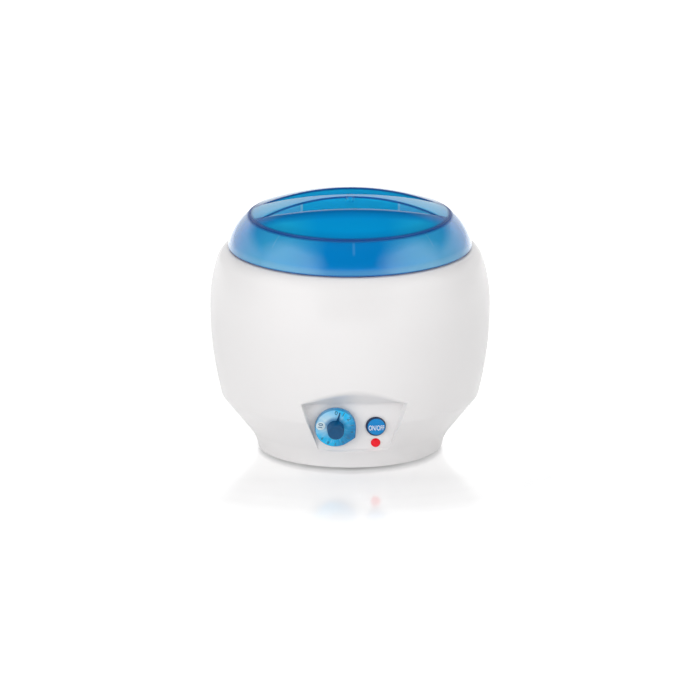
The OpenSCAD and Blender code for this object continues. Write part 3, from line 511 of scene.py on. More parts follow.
def lid_plastic(shape):
    """Clear blue plastic with painted shade along the rim, lips and lower edge, and painted light on the web's top,
    flanks, skirt, ribs and gussets.
    """
    s = shape.s
    finish = Finish("lid_plastic")
    place = finish.place()
    haze = finish.noise(place, 24.0, 3.0)
    ripple = finish.noise(place, 110.0)
    x, y, z = finish.split(place)
    across, side, radius = abs(x), abs(y), distance(x, y)
    near = distance(x, side - s.web_half - shape.near_radius) - shape.near_radius
    far = distance(x, side - s.far + shape.far_radius) - shape.far_radius
    under = distance(x, y, z - shape.dome_centre) - shape.dome_radius
    curve = distance(radius - shape.skirt_centre[0], z - shape.skirt_centre[1]) - s.skirt_radius

    # Parts of the lid, and masks where shade and light are painted
    dome = z.above(shape.rim_z, 1.0 * MM)
    skirt = 1 - dome
    face = under.above(-1.1 * MM, 0.8 * MM) * dome
    wall = abs(near).below(1.8 * MM, 0.6 * MM) * (1 - face) * dome
    # Painted shade: a dark line along the rim
    rim = abs(radius - s.rim_radius).below(1.8 * MM, 1.8 * MM) * abs(z - shape.rim_z).below(1.8 * MM, 1.8 * MM)
    # Painted shade: dark lines along the pockets' lips
    lips = abs(near).below(0.8 * MM, 0.8 * MM).most(abs(far).below(0.9 * MM, 0.9 * MM)) * face
    # Painted shadow: a dark band on the dome just outside each pocket's far lip
    painted_shadow_band = far.above(0.8 * MM, 0.8 * MM) * far.below(11 * MM, 12 * MM) * face
    # Painted sheen: the web's top, and the dome past the pockets' ends, made paler
    web = near.above(0.9 * MM, 0.6 * MM) * face
    # Painted light: the dome's flanks, away from the middle, made lighter
    painted_light_flanks = across.above(38 * MM, 24 * MM) * face * (1 - painted_shadow_band)
    # Painted shade: the dome darkened towards the rim
    outer = radius.above(68 * MM, 9 * MM) * face
    # Painted light: the pockets' web-side walls made paler past the ribs
    painted_light_past_ribs = wall * across.above(s.rib_x + 1.2 * MM, 1.0 * MM)
    # Painted highlights: pale lines on the walls where the ribs stand behind them
    ribs = wall * abs(across - s.rib_x).below(0.9 * MM, 0.6 * MM)
    # Painted light: lighter patches on the skirt at its four diagonals
    patch = (abs(x * y) / (radius * radius) * 2).above(0.72, 0.5) * skirt
    # Painted shadow: a dark line along the skirt's lower edge
    edge = z.below(shape.low + 0.9 * MM, 0.8 * MM)
    # Painted highlight: a pale band on the skirt just above its lower edge
    foot = z.below(shape.low + 4.5 * MM, 2.5 * MM) * (1 - edge)
    # Painted highlights: pale lines on the skirt's upper part over the gussets behind it
    painted_gusset_lines = across.least(side).least(abs(across - side)).below(0.9 * MM, 0.8 * MM)
    painted_gusset_lines = painted_gusset_lines * skirt * z.above(shape.rim_z - s.gusset_height, 2 * MM) * (1 - rim)
    cavity = near.above(1.1 * MM, 0.5 * MM).most(far.above(1.1 * MM, 0.5 * MM))
    cavity = cavity.most(z.below(shape.top - s.pocket_depth - 1.1 * MM, 0.5 * MM))
    inside = dome * cavity * under.below(-1.2 * MM, 0.5 * MM) + skirt * curve.below(-1.2 * MM, 0.5 * MM)
    # The painted dark lines of the rim, lips and lower edge, which are also made rough and left without coat
    painted_shade_lines = rim.most(lips.most(edge * 0.9))

    # Colour: the lid's blue with painted shade and painted light
    # Painted light: the pockets' surfaces take a lighter lit copy of the blue, and the dome's flanks most of it
    base = finish.mix((1 - face).most(painted_light_flanks * 0.8), s.colour, s.pocket_colour)
    # Painted shade: the skirt takes its darker copy of the blue, brought halfway back by painted light at the patches
    base = finish.mix(dome + patch * 0.5, s.skirt_colour, base)
    # A random haze, and painted shade towards the rim, deepen the blue
    base = finish.mix(haze * 0.1 + outer * 0.3, base, s.deep_colour)
    # Painted shadow in the band outside the far lips
    base = finish.mix(painted_shadow_band * 0.6, base, s.deep_colour)
    # Painted light: paler web top, skirt patches, walls past the ribs, lines at the ribs and gussets and a band above
    # the lower edge, with the painted dark lines over all
    pale = web * 0.12 + patch * 0.1 + painted_light_past_ribs * 0.3 + ribs * 0.8 + painted_gusset_lines * 0.14 + foot * 0.25
    base = finish.mix(painted_shade_lines, finish.mix(pale, base, s.pale_colour), s.deep_colour)

    shared = {"Base_Color": base, "IOR": 1.49, "Specular_IOR_Level": 0.3, "Normal": finish.bump(ripple, 0.04, 0.0003)}
    shared["Roughness"] = 0.05 + haze * 0.04 + painted_shade_lines * 0.3
    gloss = (0.8 - dome * 0.75) * (1 - painted_shade_lines * 0.95)
    milky = finish.principled(**shared, Transmission_Weight=0.35, Coat_Weight=gloss, Coat_Roughness=0.03)
    clear = finish.principled(**shared, Transmission_Weight=0.97)
    volume = finish.node("ShaderNodeVolumeAbsorption", {"Color": (0.0, 0.86, 0.99), "Density": 0.4 / s.wall})
    return finish.output(finish.blended(inside, milky, clear), volume)


def dial_plastic(c):
    """Light blue see-through plastic with radial streaks, a painted highlight at the upper left, and painted shade
    towards the beak, along the edge and round the hub.
    """
    finish = Finish("dial_plastic")
    place = finish.vector("SUBTRACT", finish.place(), tuple(DIAL_CENTRE))
    across = finish.vector("DOT_PRODUCT", place, (1, 0, 0), "Value")
    up = finish.vector("DOT_PRODUCT", place, tuple(PANEL_UP), "Value")
    away = distance(across, up)
    towards = across * math.cos(c.beak_angle) + up * math.sin(c.beak_angle)
    turn = up.math("ARCTAN2", across)
    spokes = finish.node("ShaderNodeCombineXYZ", {0: turn * 5.0, 1: away * 60.0, 2: 0.0})
    streak = finish.noise(spokes, 1.0, 3.0, 0.6)
    cloud = finish.noise(place, 140.0)
    # Painted highlight: a pale spot on the dial's upper left
    bright = PANEL_UP * 5 * MM - Vector((6.5 * MM, 0, 0))
    lit = finish.vector("LENGTH", finish.vector("SUBTRACT", place, tuple(bright)), out="Value")
    lit = lit.below(8 * MM, 13 * MM)
    # Painted shade: the dial darker towards the beak
    dim = towards.above(7.5 * MM, 8 * MM)
    # Painted shadow: a dark ring round the hub's upper side
    root = away.below(8.6 * MM, 2.4 * MM) * up.above(1 * MM, 4 * MM)
    # Painted shade: a dark line along the dial's edge
    edge = away.above(c.dial_radius - 0.55 * MM, 0.5 * MM)
    base = finish.mix((cloud * 0.7 + streak * 0.9 - 0.82).clamped(), c.dial_colour, c.dial_pale)
    base = finish.mix((lit * (0.75 + streak * 0.6)).clamped(), base, c.dial_pale)
    base = finish.mix((dim * (1.5 - streak * 1.3)).clamped(), base, c.dial_deep)
    return finish.surface(
        Base_Color=finish.mix(edge * 0.7 + root * 0.75, base, c.dial_deep),
        Roughness=0.12 + cloud * 0.08,
        Transmission_Weight=0.12,
        IOR=1.49,
        Specular_IOR_Level=0.35,
        Coat_Weight=0.3,
        Coat_Roughness=0.04,
    )


def placed(name, data):
    """A new object in the scene."""
    piece = bpy.data.objects.new(name, data)
    bpy.context.scene.collection.objects.link(piece)
    return piece


def dressed(piece, body, material, replaces=()):
    """Gives a piece its material and its body, and hides the nodes that it stands for."""
    piece.data.materials.clear()
    piece.data.materials.append(material)
    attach(piece, body)
    if replaces:
        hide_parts(*replaces)
    return piece


def creased(mesh, sharp=35.0):
    """Smooth faces with sharp creases."""
    mesh.shade_smooth()
    mesh.set_sharp_from_angle(angle=math.radians(sharp))


def closed_object(name, mesh, merged=False):
    """An object of points and faces, its faces turned outward and its doubled points merged if asked."""
    data = bpy.data.meshes.new(name)
    data.from_pydata([tuple(point) for point in mesh[0]], [], [tuple(face) for face in mesh[1]])
    shape = bmesh.new()
    shape.from_mesh(data)
    if merged:
        bmesh.ops.remove_doubles(shape, verts=shape.verts, dist=0.002 * MM)
        bmesh.ops.dissolve_degenerate(shape, edges=shape.edges, dist=0.001 * MM)
    bmesh.ops.recalc_face_normals(shape, faces=shape.faces)
    shape.to_mesh(data)
    shape.free()
    return placed(name, data)


def mesh_piece(name, mesh, body, slot, material, replaces=(), sharp=35.0):
    """A closed mesh piece that rides on a body."""
    piece = closed_object(name, mesh, merged=True)
    creased(piece.data, sharp)
    return dressed(piece, body, material, replaces)


def evaluated_mesh(piece):
    """A piece's mesh with its modifiers or its text applied."""
    bpy.context.view_layer.update()
    return bpy.data.meshes.new_from_object(piece.evaluated_get(bpy.context.evaluated_depsgraph_get()))


def carve(piece, mesh):
    """Cuts a closed mesh out of a piece."""
    cutter = closed_object("cutter", mesh)
    modifier = piece.modifiers.new("cut", "BOOLEAN")
    modifier.operation = "DIFFERENCE"
    modifier.solver = "MANIFOLD"
    modifier.object = cutter
    cut = evaluated_mesh(piece)
    piece.modifiers.remove(modifier)
    piece.data = cut
    creased(cut)
    bpy.data.objects.remove(cutter)


def mm(*places):
    """Places given in millimetres, in metres."""
    return [tuple(value * MM for value in place) for place in places]


def turn_about(angle, axis="Z"):
    """A rotation about one of the axes."""
    return Matrix.Rotation(angle, 4, axis)


def arc(centre, radius, start, stop):
    """Points along an arc, about a fine step apart."""
    count = max(2, math.ceil(abs((stop - start) * radius) / FINE_STEP))
    angles = np.linspace(start, stop, count + 1)
    return np.column_stack([centre[0] + radius * np.cos(angles), centre[1] + radius * np.sin(angles)])


def straight(start, stop):
    """Points along a line, about a fine step apart."""
    count = max(1, math.ceil(np.linalg.norm(stop - start) / FINE_STEP))
    return start + (stop - start) * np.linspace(0, 1, count + 1)[:, None]


def thinned(points, near, far):
    """Points of a dense line, kept about near apart where the recess lies and far apart elsewhere."""
    low, high = RECESS_BAND
    kept = [points[0]]
    run = 0.0
    for before, point in zip(points[:-1], points[1:]):
        run += np.linalg.norm(point - before)
        if run >= (near if low < point[1] < high else far):
            kept.append(point)
            run = 0.0
    if np.linalg.norm(kept[-1] - points[-1]) > TINY:
        kept.append(points[-1])
    return np.array(kept)


def bridge(first, second):
    """Quads between two loops of indices of the same length."""
    count = len(first)
    return [(first[i], first[(i + 1) % count], second[(i + 1) % count], second[i]) for i in range(count)]


def ring_faces(first, second, count):
    """Quads between two rings of points that start at two indices."""
    return bridge(range(first, first + count), range(second, second + count))


def rounded(radius, height, edge, turns):
    """Points of a profile round an outer edge, at angles up from level."""
    return [(radius - edge + edge * math.cos(a), height - edge + edge * math.sin(a)) for a in turns]


def turned(profile, count=FACETS, matrix=Matrix(), closed=False):
    """Points and faces of a profile of (radius, height) turned about the upright axis."""
    points, faces, starts, single = [], [], [], []
    for radius, height in profile:
        starts.append(len(points))
        single.append(radius < TINY)
        turns = [2 * math.pi * i / count for i in range(1 if single[-1] else count)]
        points += [matrix @ Vector((radius * math.cos(a), radius * math.sin(a), height)) for a in turns]
    rows = len(profile)
    for a in range(rows if closed else rows - 1):
        b = (a + 1) % rows
        if single[a]:
            faces += [(starts[a], starts[b] + (i + 1) % count, starts[b] + i) for i in range(count)]
        elif single[b]:
            faces += [(starts[a] + i, starts[a] + (i + 1) % count, starts[b]) for i in range(count)]
        else:
            faces += ring_faces(starts[a], starts[b], count)
    return points, faces


def panel_matrix(centre):
    """Places local X across, Y up and Z out of the panel at a point."""
    matrix = Matrix((Vector((1, 0, 0)), PANEL_UP, PANEL_OUT)).transposed().to_4x4()
    matrix.translation = centre
    return matrix


def joined(*meshes):
    """Points and faces of several meshes in one."""
    points, faces = [], []
    for some_points, some_faces in meshes:
        start = len(points)
        points += [Vector(p) for p in some_points]
        faces += [tuple(start + i for i in face) for face in some_faces]
    return points, faces


def bow_radius(half, sag):
    """Radius of an arc that rises by sag over half its chord."""
    return (half**2 + sag**2) / (2 * sag)


def smooth_min(first, second, soft):
    """The lesser of two, with the corner between them rounded."""
    near = np.clip(soft - np.abs(first - second), 0, None) / soft
    return np.minimum(first, second) - near * near * soft / 4


def smooth_max(first, second, soft):
    """The greater of two, with the corner between them rounded."""
    return -smooth_min(-first, -second, soft)


def recess_surface(across, up, recess, grow):
    """How far out of the panel the recess's surface lies at a place across and up the panel."""
    panel_height = (recess.high - recess.low) / PANEL_UP.z
    share = np.clip(up / panel_height, -0.2, 1.6)
    half = recess.low_half + (recess.high_half - recess.low_half) * share + grow
    spread = recess.wall_spread * (0.35 + 0.65 * np.clip(share, 0, 1))
    side = (np.abs(across) - half) * recess.reach / spread
    arch_half = recess.high_half + recess.spread
    fall = recess.rise_middle - recess.rise_end
    arch_radius = bow_radius(arch_half, fall)
    reach_across = np.clip(np.abs(across), 0, arch_half * 1.1)
    rise = recess.rise_middle - arch_radius + np.sqrt(arch_radius**2 - reach_across**2)
    hood = (up - panel_height - grow) * recess.reach / rise
    sill = (-up - grow) * recess.reach / (2 * MM)
    walls = smooth_max(smooth_max(side, hood, 2 * recess.soft_corner), sill, recess.soft_corner)
    return smooth_max(walls, np.zeros_like(walls), recess.soft_corner) - grow


def pressed_in(points, recess, grow):
    """Points of the housing's side, pushed in along the panel's normal where the recess is."""
    foot = DIAL_CENTRE + PANEL_UP * (recess.low - DIAL_CENTRE.z) / PANEL_UP.z
    foot.x = 0
    offset = points - np.array(foot)
    across = points[:, 0]
    up = offset @ np.array(PANEL_UP)
    out = offset @ np.array(PANEL_OUT)
    surface = recess_surface(across, up, recess, grow)
    behind = -20 * MM
    kept = np.where(out > behind, smooth_min(out, surface, recess.soft_edge), out)
    return points + np.outer(kept - out, np.array(PANEL_OUT))


def housing_side(h, depth, near, far):
    """The housing's profile from foot to land, set in by depth, its points near or far apart."""
    low = HOUSING_LOW.z
    radius = HOUSING_HIGH.x
    upper = (radius - h.upper_radius, h.equator)
    lower = (radius - h.lower_radius, h.equator)
    back = h.upper_radius - h.shoulder_radius
    shoulder = (upper[0] + back * math.cos(h.shoulder_from), h.equator + back * math.sin(h.shoulder_from))
    land_radius = LID_HIGH.x - 1.8 * MM
    land_angle = math.acos((land_radius - shoulder[0]) / h.shoulder_radius)
    foot = np.array([h.foot_radius + h.foot_curve * math.cos(h.foot_lean), low - h.foot_curve * math.sin(h.foot_lean)])
    slant = np.array([math.sin(h.waist_angle), math.cos(h.waist_angle)])
    inward = np.array([-math.cos(h.waist_angle), math.sin(h.waist_angle)])
    start = foot + (h.foot_curve + h.waist_corner) * inward
    away = start - np.array(lower)
    along = away @ slant
    run = -along + math.sqrt(along**2 - away @ away + (h.lower_radius - h.waist_corner) ** 2)
    corner = start + run * slant
    turn = math.atan2(corner[1] - h.equator, corner[0] - lower[0])
    hollow, bend = h.foot_curve + depth, h.waist_corner - depth
    lines = [
        straight(foot + hollow * inward, corner - bend * inward),
        arc(corner, bend, -h.waist_angle, turn),
        arc(lower, h.lower_radius - depth, turn, 0),
        arc(upper, h.upper_radius - depth, 0, h.shoulder_from),
        arc(shoulder, h.shoulder_radius - depth, h.shoulder_from, land_angle),
    ]
    dense = [arc(foot, hollow, math.pi - h.foot_lean, math.pi - h.waist_angle), *(line[1:] for line in lines)]
    return thinned(np.vstack(dense), near, far)


def housing_mesh(h, recess):
    """Points and faces of the housing's shell, with its recess, land, seat and mouth."""
    outer = housing_side(h, 0, 0.6 * MM, 2.4 * MM)
    inner = housing_side(h, h.wall, 2.5 * MM, 2.5 * MM)
    land = outer[-1][1]
    shelf = land - h.seat_depth
    top_inner = inner[inner[:, 1] < shelf - h.wall]
    edge = 0.5 * MM
    seat, mouth = h.seat_radius, h.mouth_radius
    rim = [(seat + edge, land), (seat, land - edge), (seat, shelf)]
    rim += [(mouth + edge, shelf), (mouth, shelf - edge), (mouth, shelf - h.wall)]
    profile = np.vstack([outer, rim, [(top_inner[-1][0], shelf - h.wall)], top_inner[::-1]])
    grows = [0.0] * len(outer) + [None] * (len(rim) + 1) + [h.wall] * len(top_inner)
    side = np.concatenate([np.arange(*steps) for steps in FRONT_STEPS])
    front = np.radians(np.concatenate([-side[:0:-1], side]))
    rest = np.linspace(front[-1], 2 * math.pi + front[0], REST_COLUMNS)[1:-1]
    turns = np.concatenate([front, rest])
    points, faces = [], []
    count = len(turns)
    for (radius, height), grow in zip(profile, grows):
        ring = np.column_stack([radius * np.sin(turns), -radius * np.cos(turns), np.full(count, height)])
        points.append(ring if grow is None else pressed_in(ring, recess, grow))
    rows = len(profile)
    for row in range(rows):
        faces += ring_faces(row * count, (row + 1) % rows * count, count)
    return np.vstack(points), faces


def bored(radius, chamfer):
    """Profile of a cutter for a hole in the panel, with a chamfer at the face."""
    wide = radius + chamfer
    deep, high, skin = -6 * MM, 3 * MM, 0.02 * MM
    return [(0, deep), (radius, deep), (radius, -chamfer), (wide, skin), (wide, high), (0, high)]


class MakeHousing(Operator):
    """Models the white housing with its control recess and holes"""

    bl_idname = "warmer.make_housing"
    bl_label = "Make housing"

    def execute(self, context):
        h = context.scene.warmer_housing
        controls = context.scene.warmer_controls
        material = housing_plastic(h.colour)
        shell = housing_mesh(h, context.scene.warmer_recess)
        housing = mesh_piece("housing_shell", shell, "base", "housing_white", material, ["outer_housing"])
        holes = [
            (DIAL_CENTRE, 3.6 * MM, 0.2 * MM),
            (BUTTON_CENTRE, controls.button_radius + 0.15 * MM, 0.3 * MM),
            (LENS_CENTRE, controls.lens_radius + 0.08 * MM, 0.15 * MM),
        ]
        carve(housing, joined(*(turned(bored(r, chamfer), 72, panel_matrix(at)) for at, r, chamfer in holes)))
        self.make_gland_boss(material)
        return {"FINISHED"}

    def make_gland_boss(self, material):
        """The round boss for the cord gland at the back."""
        low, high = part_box("cord_gland")
        bush = (high.z - low.z) / 2 + 0.3 * MM
        bore, depth, edge = bush - 1.7 * MM, 16 * MM, 0.8 * MM
        profile = [(bore, 0.0), (bush - edge, 0.0), *rounded(bush, 0, edge, [QUARTER - a for a in (0.4, 0.8, 1.2)])]
        profile += [(bush, -edge), (bush, -depth), (bore, -depth)]
        centre = Matrix.Translation((0, high.y - 2.5 * MM, (low.z + high.z) / 2))
        boss = turned(profile, 64, centre @ turn_about(-QUARTER, "X"), closed=True)
        mesh_piece("gland_boss", boss, "base", "housing_white", material)


class LidShape:
    """The lid's outlines, worked out from its settings and the frame."""

    def __init__(self, s):
        self.s = s
        self.low = LID_LOW.z
        self.top = LID_HIGH.z
        self.rim_z = self.low + s.skirt_height
        self.dome_radius = bow_radius(s.rim_radius, self.top - self.rim_z)
        self.dome_centre = self.top - self.dome_radius
        self.near_radius = bow_radius(s.pocket_half, s.tip - s.web_half)
        self.far_radius = bow_radius(s.pocket_half, s.far - s.tip)
        edge = LID_HIGH.x
        chord = np.array([s.rim_radius - edge, s.skirt_height])
        span = np.linalg.norm(chord)
        sag = math.sqrt(s.skirt_radius**2 - span**2 / 4)
        x = (edge + s.rim_radius) / 2 - chord[1] / span * sag
        z = self.low + s.skirt_height / 2 + chord[0] / span * sag
        self.skirt_centre = x, z
        self.skirt_start = math.atan2(self.low - z, edge - x)
        self.skirt_stop = math.atan2(self.rim_z - z, s.rim_radius - x)

    def dome(self, radius, depth):
        """Height of the dome, set in by depth, at a distance from the middle."""
        return self.dome_centre + np.sqrt((self.dome_radius - depth) ** 2 - radius**2)

    def walls(self, x, reach, grow):
        """Distances of a pocket's near and far walls from the middle line at x."""
        s = self.s
        near = s.web_half + self.near_radius - math.sqrt((self.near_radius + grow) ** 2 - x * x)
        far = s.far - self.far_radius + math.sqrt((self.far_radius + grow) ** 2 - x * x)
        if far < near:
            near = far = (far + near) / 2
        limit = 0.86 * reach
        return min(near, limit), min(far, limit)

    def half_row(self, x, reach, depth, grow):
        """Points from the rim to the middle line at x, over dome, pocket and web."""
        near, far = self.walls(x, reach, grow)
        floor = self.top - self.s.pocket_depth - grow

        def dome(y):
            return float(self.dome(math.hypot(x, y), depth))

        row = [(y, dome(y)) for y in np.linspace(reach, far + min(0.7 * MM, reach - far), 11)[:-1]]
        row += self.drop(far, near, floor, dome, 1)
        inside = [row[-1][0], self.drop(near, far, floor, dome, -1)[-1][0]]
        row += [(y, min(floor, dome(y))) for y in np.linspace(inside[0], inside[1], 9)[1:-1]]
        row += self.drop(near, far, floor, dome, -1)[::-1]
        row += [(y, dome(y)) for y in np.linspace(row[-1][0], 0, 6)[1:]]
        return row

    def drop(self, edge, other, floor, dome, way):
        """Points down one wall of a pocket, with a rounded lip above and a hollow corner below."""
        depth = max(0.0, dome(edge) - floor)
        width = abs(edge - other)
        lip = min(0.7 * MM, 0.3 * depth)
        corner = min(1.1 * MM, 0.35 * depth, 0.3 * width)
        draft = min(0.35 * MM, 0.1 * depth, 0.1 * width)
        top = dome(edge)
        wall_low = top - depth + corner
        turns = [math.radians(turn) for turn in (0, 30, 60, 90)]
        points = [(edge + way * lip * (1 - math.sin(a)), top - lip * (1 - math.cos(a))) for a in turns]
        points += [(edge - way * draft * part, top - lip + (wall_low - top + lip) * part) for part in (0.33, 0.67)]
        points += [(edge - way * (draft + corner * (1 - math.cos(a))), wall_low - corner * math.sin(a)) for a in turns]
        return points

    def patch(self, radius, depth, grow):
        """Grid of points over the dome inside a radius, one row of points a column."""
        grid = []
        for i in range(LID_COLUMNS + 1):
            turn = math.pi * i / LID_COLUMNS
            x = -radius * math.cos(turn)
            reach = max(radius * math.sin(turn), 1e-9)
            half = self.half_row(x, reach, depth, grow)
            grid.append([(x, -y, z) for y, z in half] + [(x, y, z) for y, z in half[-2::-1]])
        return grid

    def skirt(self, depth):
        """Points along the skirt's curve, set in by depth, from lower edge to rim."""
        angles = self.skirt_start + (self.skirt_stop - self.skirt_start) * np.linspace(0.0, 1.0, SKIRT_ROWS)
        radius = self.s.skirt_radius - depth
        x, z = self.skirt_centre
        return [(x + radius * math.cos(a), z + radius * math.sin(a)) for a in angles]


def lid_mesh(shape):
    """Points and faces of the lid's shell as one closed mesh."""
    wall = shape.s.wall
    outer_edge, inner_edge = 67.6 * MM, 66.6 * MM
    outer = shape.patch(outer_edge, 0.0, 0.0)
    inner = shape.patch(inner_edge, wall, shape.s.pocket_wall)
    rim = shape.s.rim_radius
    groove = 0.6 * MM
    profile = [(r, float(shape.dome(r, 0.0))) for r in np.linspace(outer_edge, rim - groove, 7)[1:]]
    profile += [(rim - groove * math.cos(a), shape.rim_z - groove * math.sin(a)) for a in (0.6, 1.2, 1.8, 2.4)]
    skirt = shape.skirt(0.0)[::-1]
    profile += skirt[1:-1]
    edge = 0.5 * MM
    x, z = skirt[-1]
    profile += [(x, z + edge), (x - 0.3 * edge, z + 0.3 * edge), (x - edge, z), (shape.skirt(wall)[0][0] + edge, z)]
    profile += [p for p in shape.skirt(wall) if p[1] > shape.low + edge]
    profile += [(r, float(shape.dome(r, wall))) for r in np.linspace(rim - wall * 0.6, inner_edge, 6)[:-1]]
    points, faces = [], []
    rows = len(outer[0])
    for grid in (outer, inner):
        base = len(points)
        points += [point for row in grid for point in row]
        corners = [base + i * rows + j for i in range(LID_COLUMNS) for j in range(rows - 1)]
        faces += [(a, a + 1, a + rows + 1, a + rows) for a in corners]
    front = [i * rows for i in range(LID_COLUMNS + 1)]
    first = front + [i * rows + rows - 1 for i in range(LID_COLUMNS - 1, 0, -1)]
    last = [len(front) * rows + i for i in first]
    turns = [math.atan2(points[i][1], points[i][0]) for i in first]
    turns[0], turns[LID_COLUMNS] = math.pi, 0.0
    previous = first
    for radius, height in profile:
        ring = list(range(len(points), len(points) + len(first)))
        points += [(radius * math.cos(a), radius * math.sin(a), height) for a in turns]
        faces += bridge(previous, ring)
        previous = ring
    faces += bridge(previous, last)
    return points, faces


def slab(outline, thickness, matrix):
    """A flat closed plate: an outline of (x, z) points, centred on its thickness along Y."""
    count = len(outline)
    points = [matrix @ Vector((x, side * thickness / 2, z)) for side in (-1, 1) for x, z in outline]
    faces = [tuple(range(count)), tuple(range(2 * count - 1, count - 1, -1))]
    faces += [(i, count + i, count + (i + 1) % count, (i + 1) % count) for i in range(count)]
    return points, faces


def upright(half, low, high):
    """Outline of an upright rectangle for a slab."""
    return [(-half, low), (half, low), (half, high), (-half, high)]


def lid_piece(name, mesh, material, **more):
    """A piece of the lid."""
    mesh_piece(name, mesh, "lid", "lid_blue", material, **more)


class MakeLid(Operator):
    """Models the translucent lid with its pockets, ring, gussets and web ribs"""

    bl_idname = "warmer.make_lid"
    bl_label = "Make lid"

    def execute(self, context):
        shape = LidShape(context.scene.warmer_lid)
        material = lid_plastic(shape)
        lid_piece("lid_shell", lid_mesh(shape), material, replaces=["lid"], sharp=50)
        self.make_ring(shape, material)
        self.make_gussets(shape, material)
        self.make_web_ribs(shape, material)
        self.make_boss(shape, material)
        return {"FINISHED"}

    def make_ring(self, shape, material):
        """The ring under the rim, which stands on the bowl."""
        outer = shape.s.ring_outer
        inner = outer - shape.s.ring_wall
        low = BOWL_HIGH.z - 0.9 * MM
        lift, edge = 0.6 * MM, 0.4 * MM
        profile = [(inner, low + edge), (inner + edge, low), (outer - edge, low), (outer, low + edge)]
        profile += [(radius, float(shape.dome(radius, shape.s.wall)) + lift) for radius in (outer, inner)]
        lid_piece("lid_ring", turned(profile, 240, closed=True), material)

    def make_gussets(self, shape, material):
        """Stiffening ribs between the ring and the skirt."""
        s = shape.s
        low = shape.rim_z - s.gusset_height
        skirt = [p for p in shape.skirt(s.wall - 0.5 * MM) if p[1] > low + 0.3 * MM and p[0] > s.ring_outer]
        root = s.ring_outer - 0.3 * MM
        outline = [(root, low), (skirt[0][0], low), *skirt, (root, skirt[-1][1])]
        turns = [2 * math.pi * i / s.gussets + QUARTER for i in range(s.gussets)]
        plates = [slab(outline, 1.6 * MM, turn_about(turn)) for turn in turns]
        lid_piece("lid_gussets", joined(*plates), material, sharp=20)

    def make_web_ribs(self, shape, material):
        """Cross ribs inside the web, and the plate between them."""
        s = shape.s
        floor = shape.top - s.pocket_depth
        high = float(shape.dome(s.rib_x, s.wall))
        near = shape.walls(s.rib_x, 60 * MM, s.pocket_wall)[0]
        reach = max(s.web_half - s.pocket_wall + 0.5 * MM, near + 0.4 * MM)
        outline = upright(reach, floor, high + 0.4 * MM)
        spots = [Matrix.Translation((side * s.rib_x, 0, 0)) @ turn_about(QUARTER) for side in (-1, 1)]
        lid_piece("lid_web_ribs", joined(*(slab(outline, 2.0 * MM, spot) for spot in spots)), material, sharp=20)
        outline = upright(s.rib_x - 1.2 * MM, floor + 0.4 * MM, high - 0.6 * MM)
        core = glossy_plastic("web_plastic", s.core_colour, 0.3)
        lid_piece("lid_web_core", slab(outline, 1.2 * MM, Matrix()), core, sharp=20)

    def make_boss(self, shape, material):
        """The short round boss with a dimple at the top of the web."""
        dimple = mm((0, -0.9), (1.8, -0.8), (3.0, -0.45), (3.7, -0.06))
        side = mm((4.2, -0.02), (4.62, -0.18), (4.8, -0.6), (4.8, -3.5), (0, -3.5))
        profile = [(radius, shape.top + height) for radius, height in dimple + side]
        lid_piece("lid_boss", turned(profile, 64), material)


def lettering(name, text, size, matrix, body, material, bold):
    """Flat printed characters as a mesh, centred on a place."""
    curve = bpy.data.curves.new(name, "FONT")
    curve.body = text
    curve.size = size
    curve.align_x = "CENTER"
    curve.align_y = "CENTER"
    curve.extrude = 0.03 * MM
    curve.offset = bold
    maker = placed(name + "_maker", curve)
    mesh = evaluated_mesh(maker)
    bpy.data.objects.remove(maker)
    mesh.name = name
    mesh.transform(matrix)
    dressed(placed(name, mesh), body, material)


def dial_outline(radius, reach, inset):
    """Outline of the dial with its beak along +X between two tangents, set in from the edge."""
    flank = math.acos(radius / reach)
    outline = []
    for i in range(DIAL_COLUMNS):
        turn = 2 * math.pi * i / DIAL_COLUMNS - math.pi
        out = radius / math.cos(max(0.0, flank - abs(turn)))
        out = min(out, reach - 0.12 * MM) - inset
        outline.append((out * math.cos(turn), out * math.sin(turn)))
    return outline


def layered(outlines, heights, matrix):
    """A closed solid through outlines of the same length at given heights."""
    count = len(outlines[0])
    points = [matrix @ Vector((x, y, z)) for outline, z in zip(outlines, heights) for x, y in outline]
    faces = []
    for layer in range(len(outlines) - 1):
        faces += ring_faces(layer * count, (layer + 1) * count, count)
    faces += [tuple(range(count - 1, -1, -1)), tuple(range((len(outlines) - 1) * count, len(outlines) * count))]
    return points, faces


def on_ring(plane, radius, turn, height):
    """A place on the dial's face at an angle."""
    return plane @ Matrix.Translation((radius * math.cos(turn), radius * math.sin(turn), height))


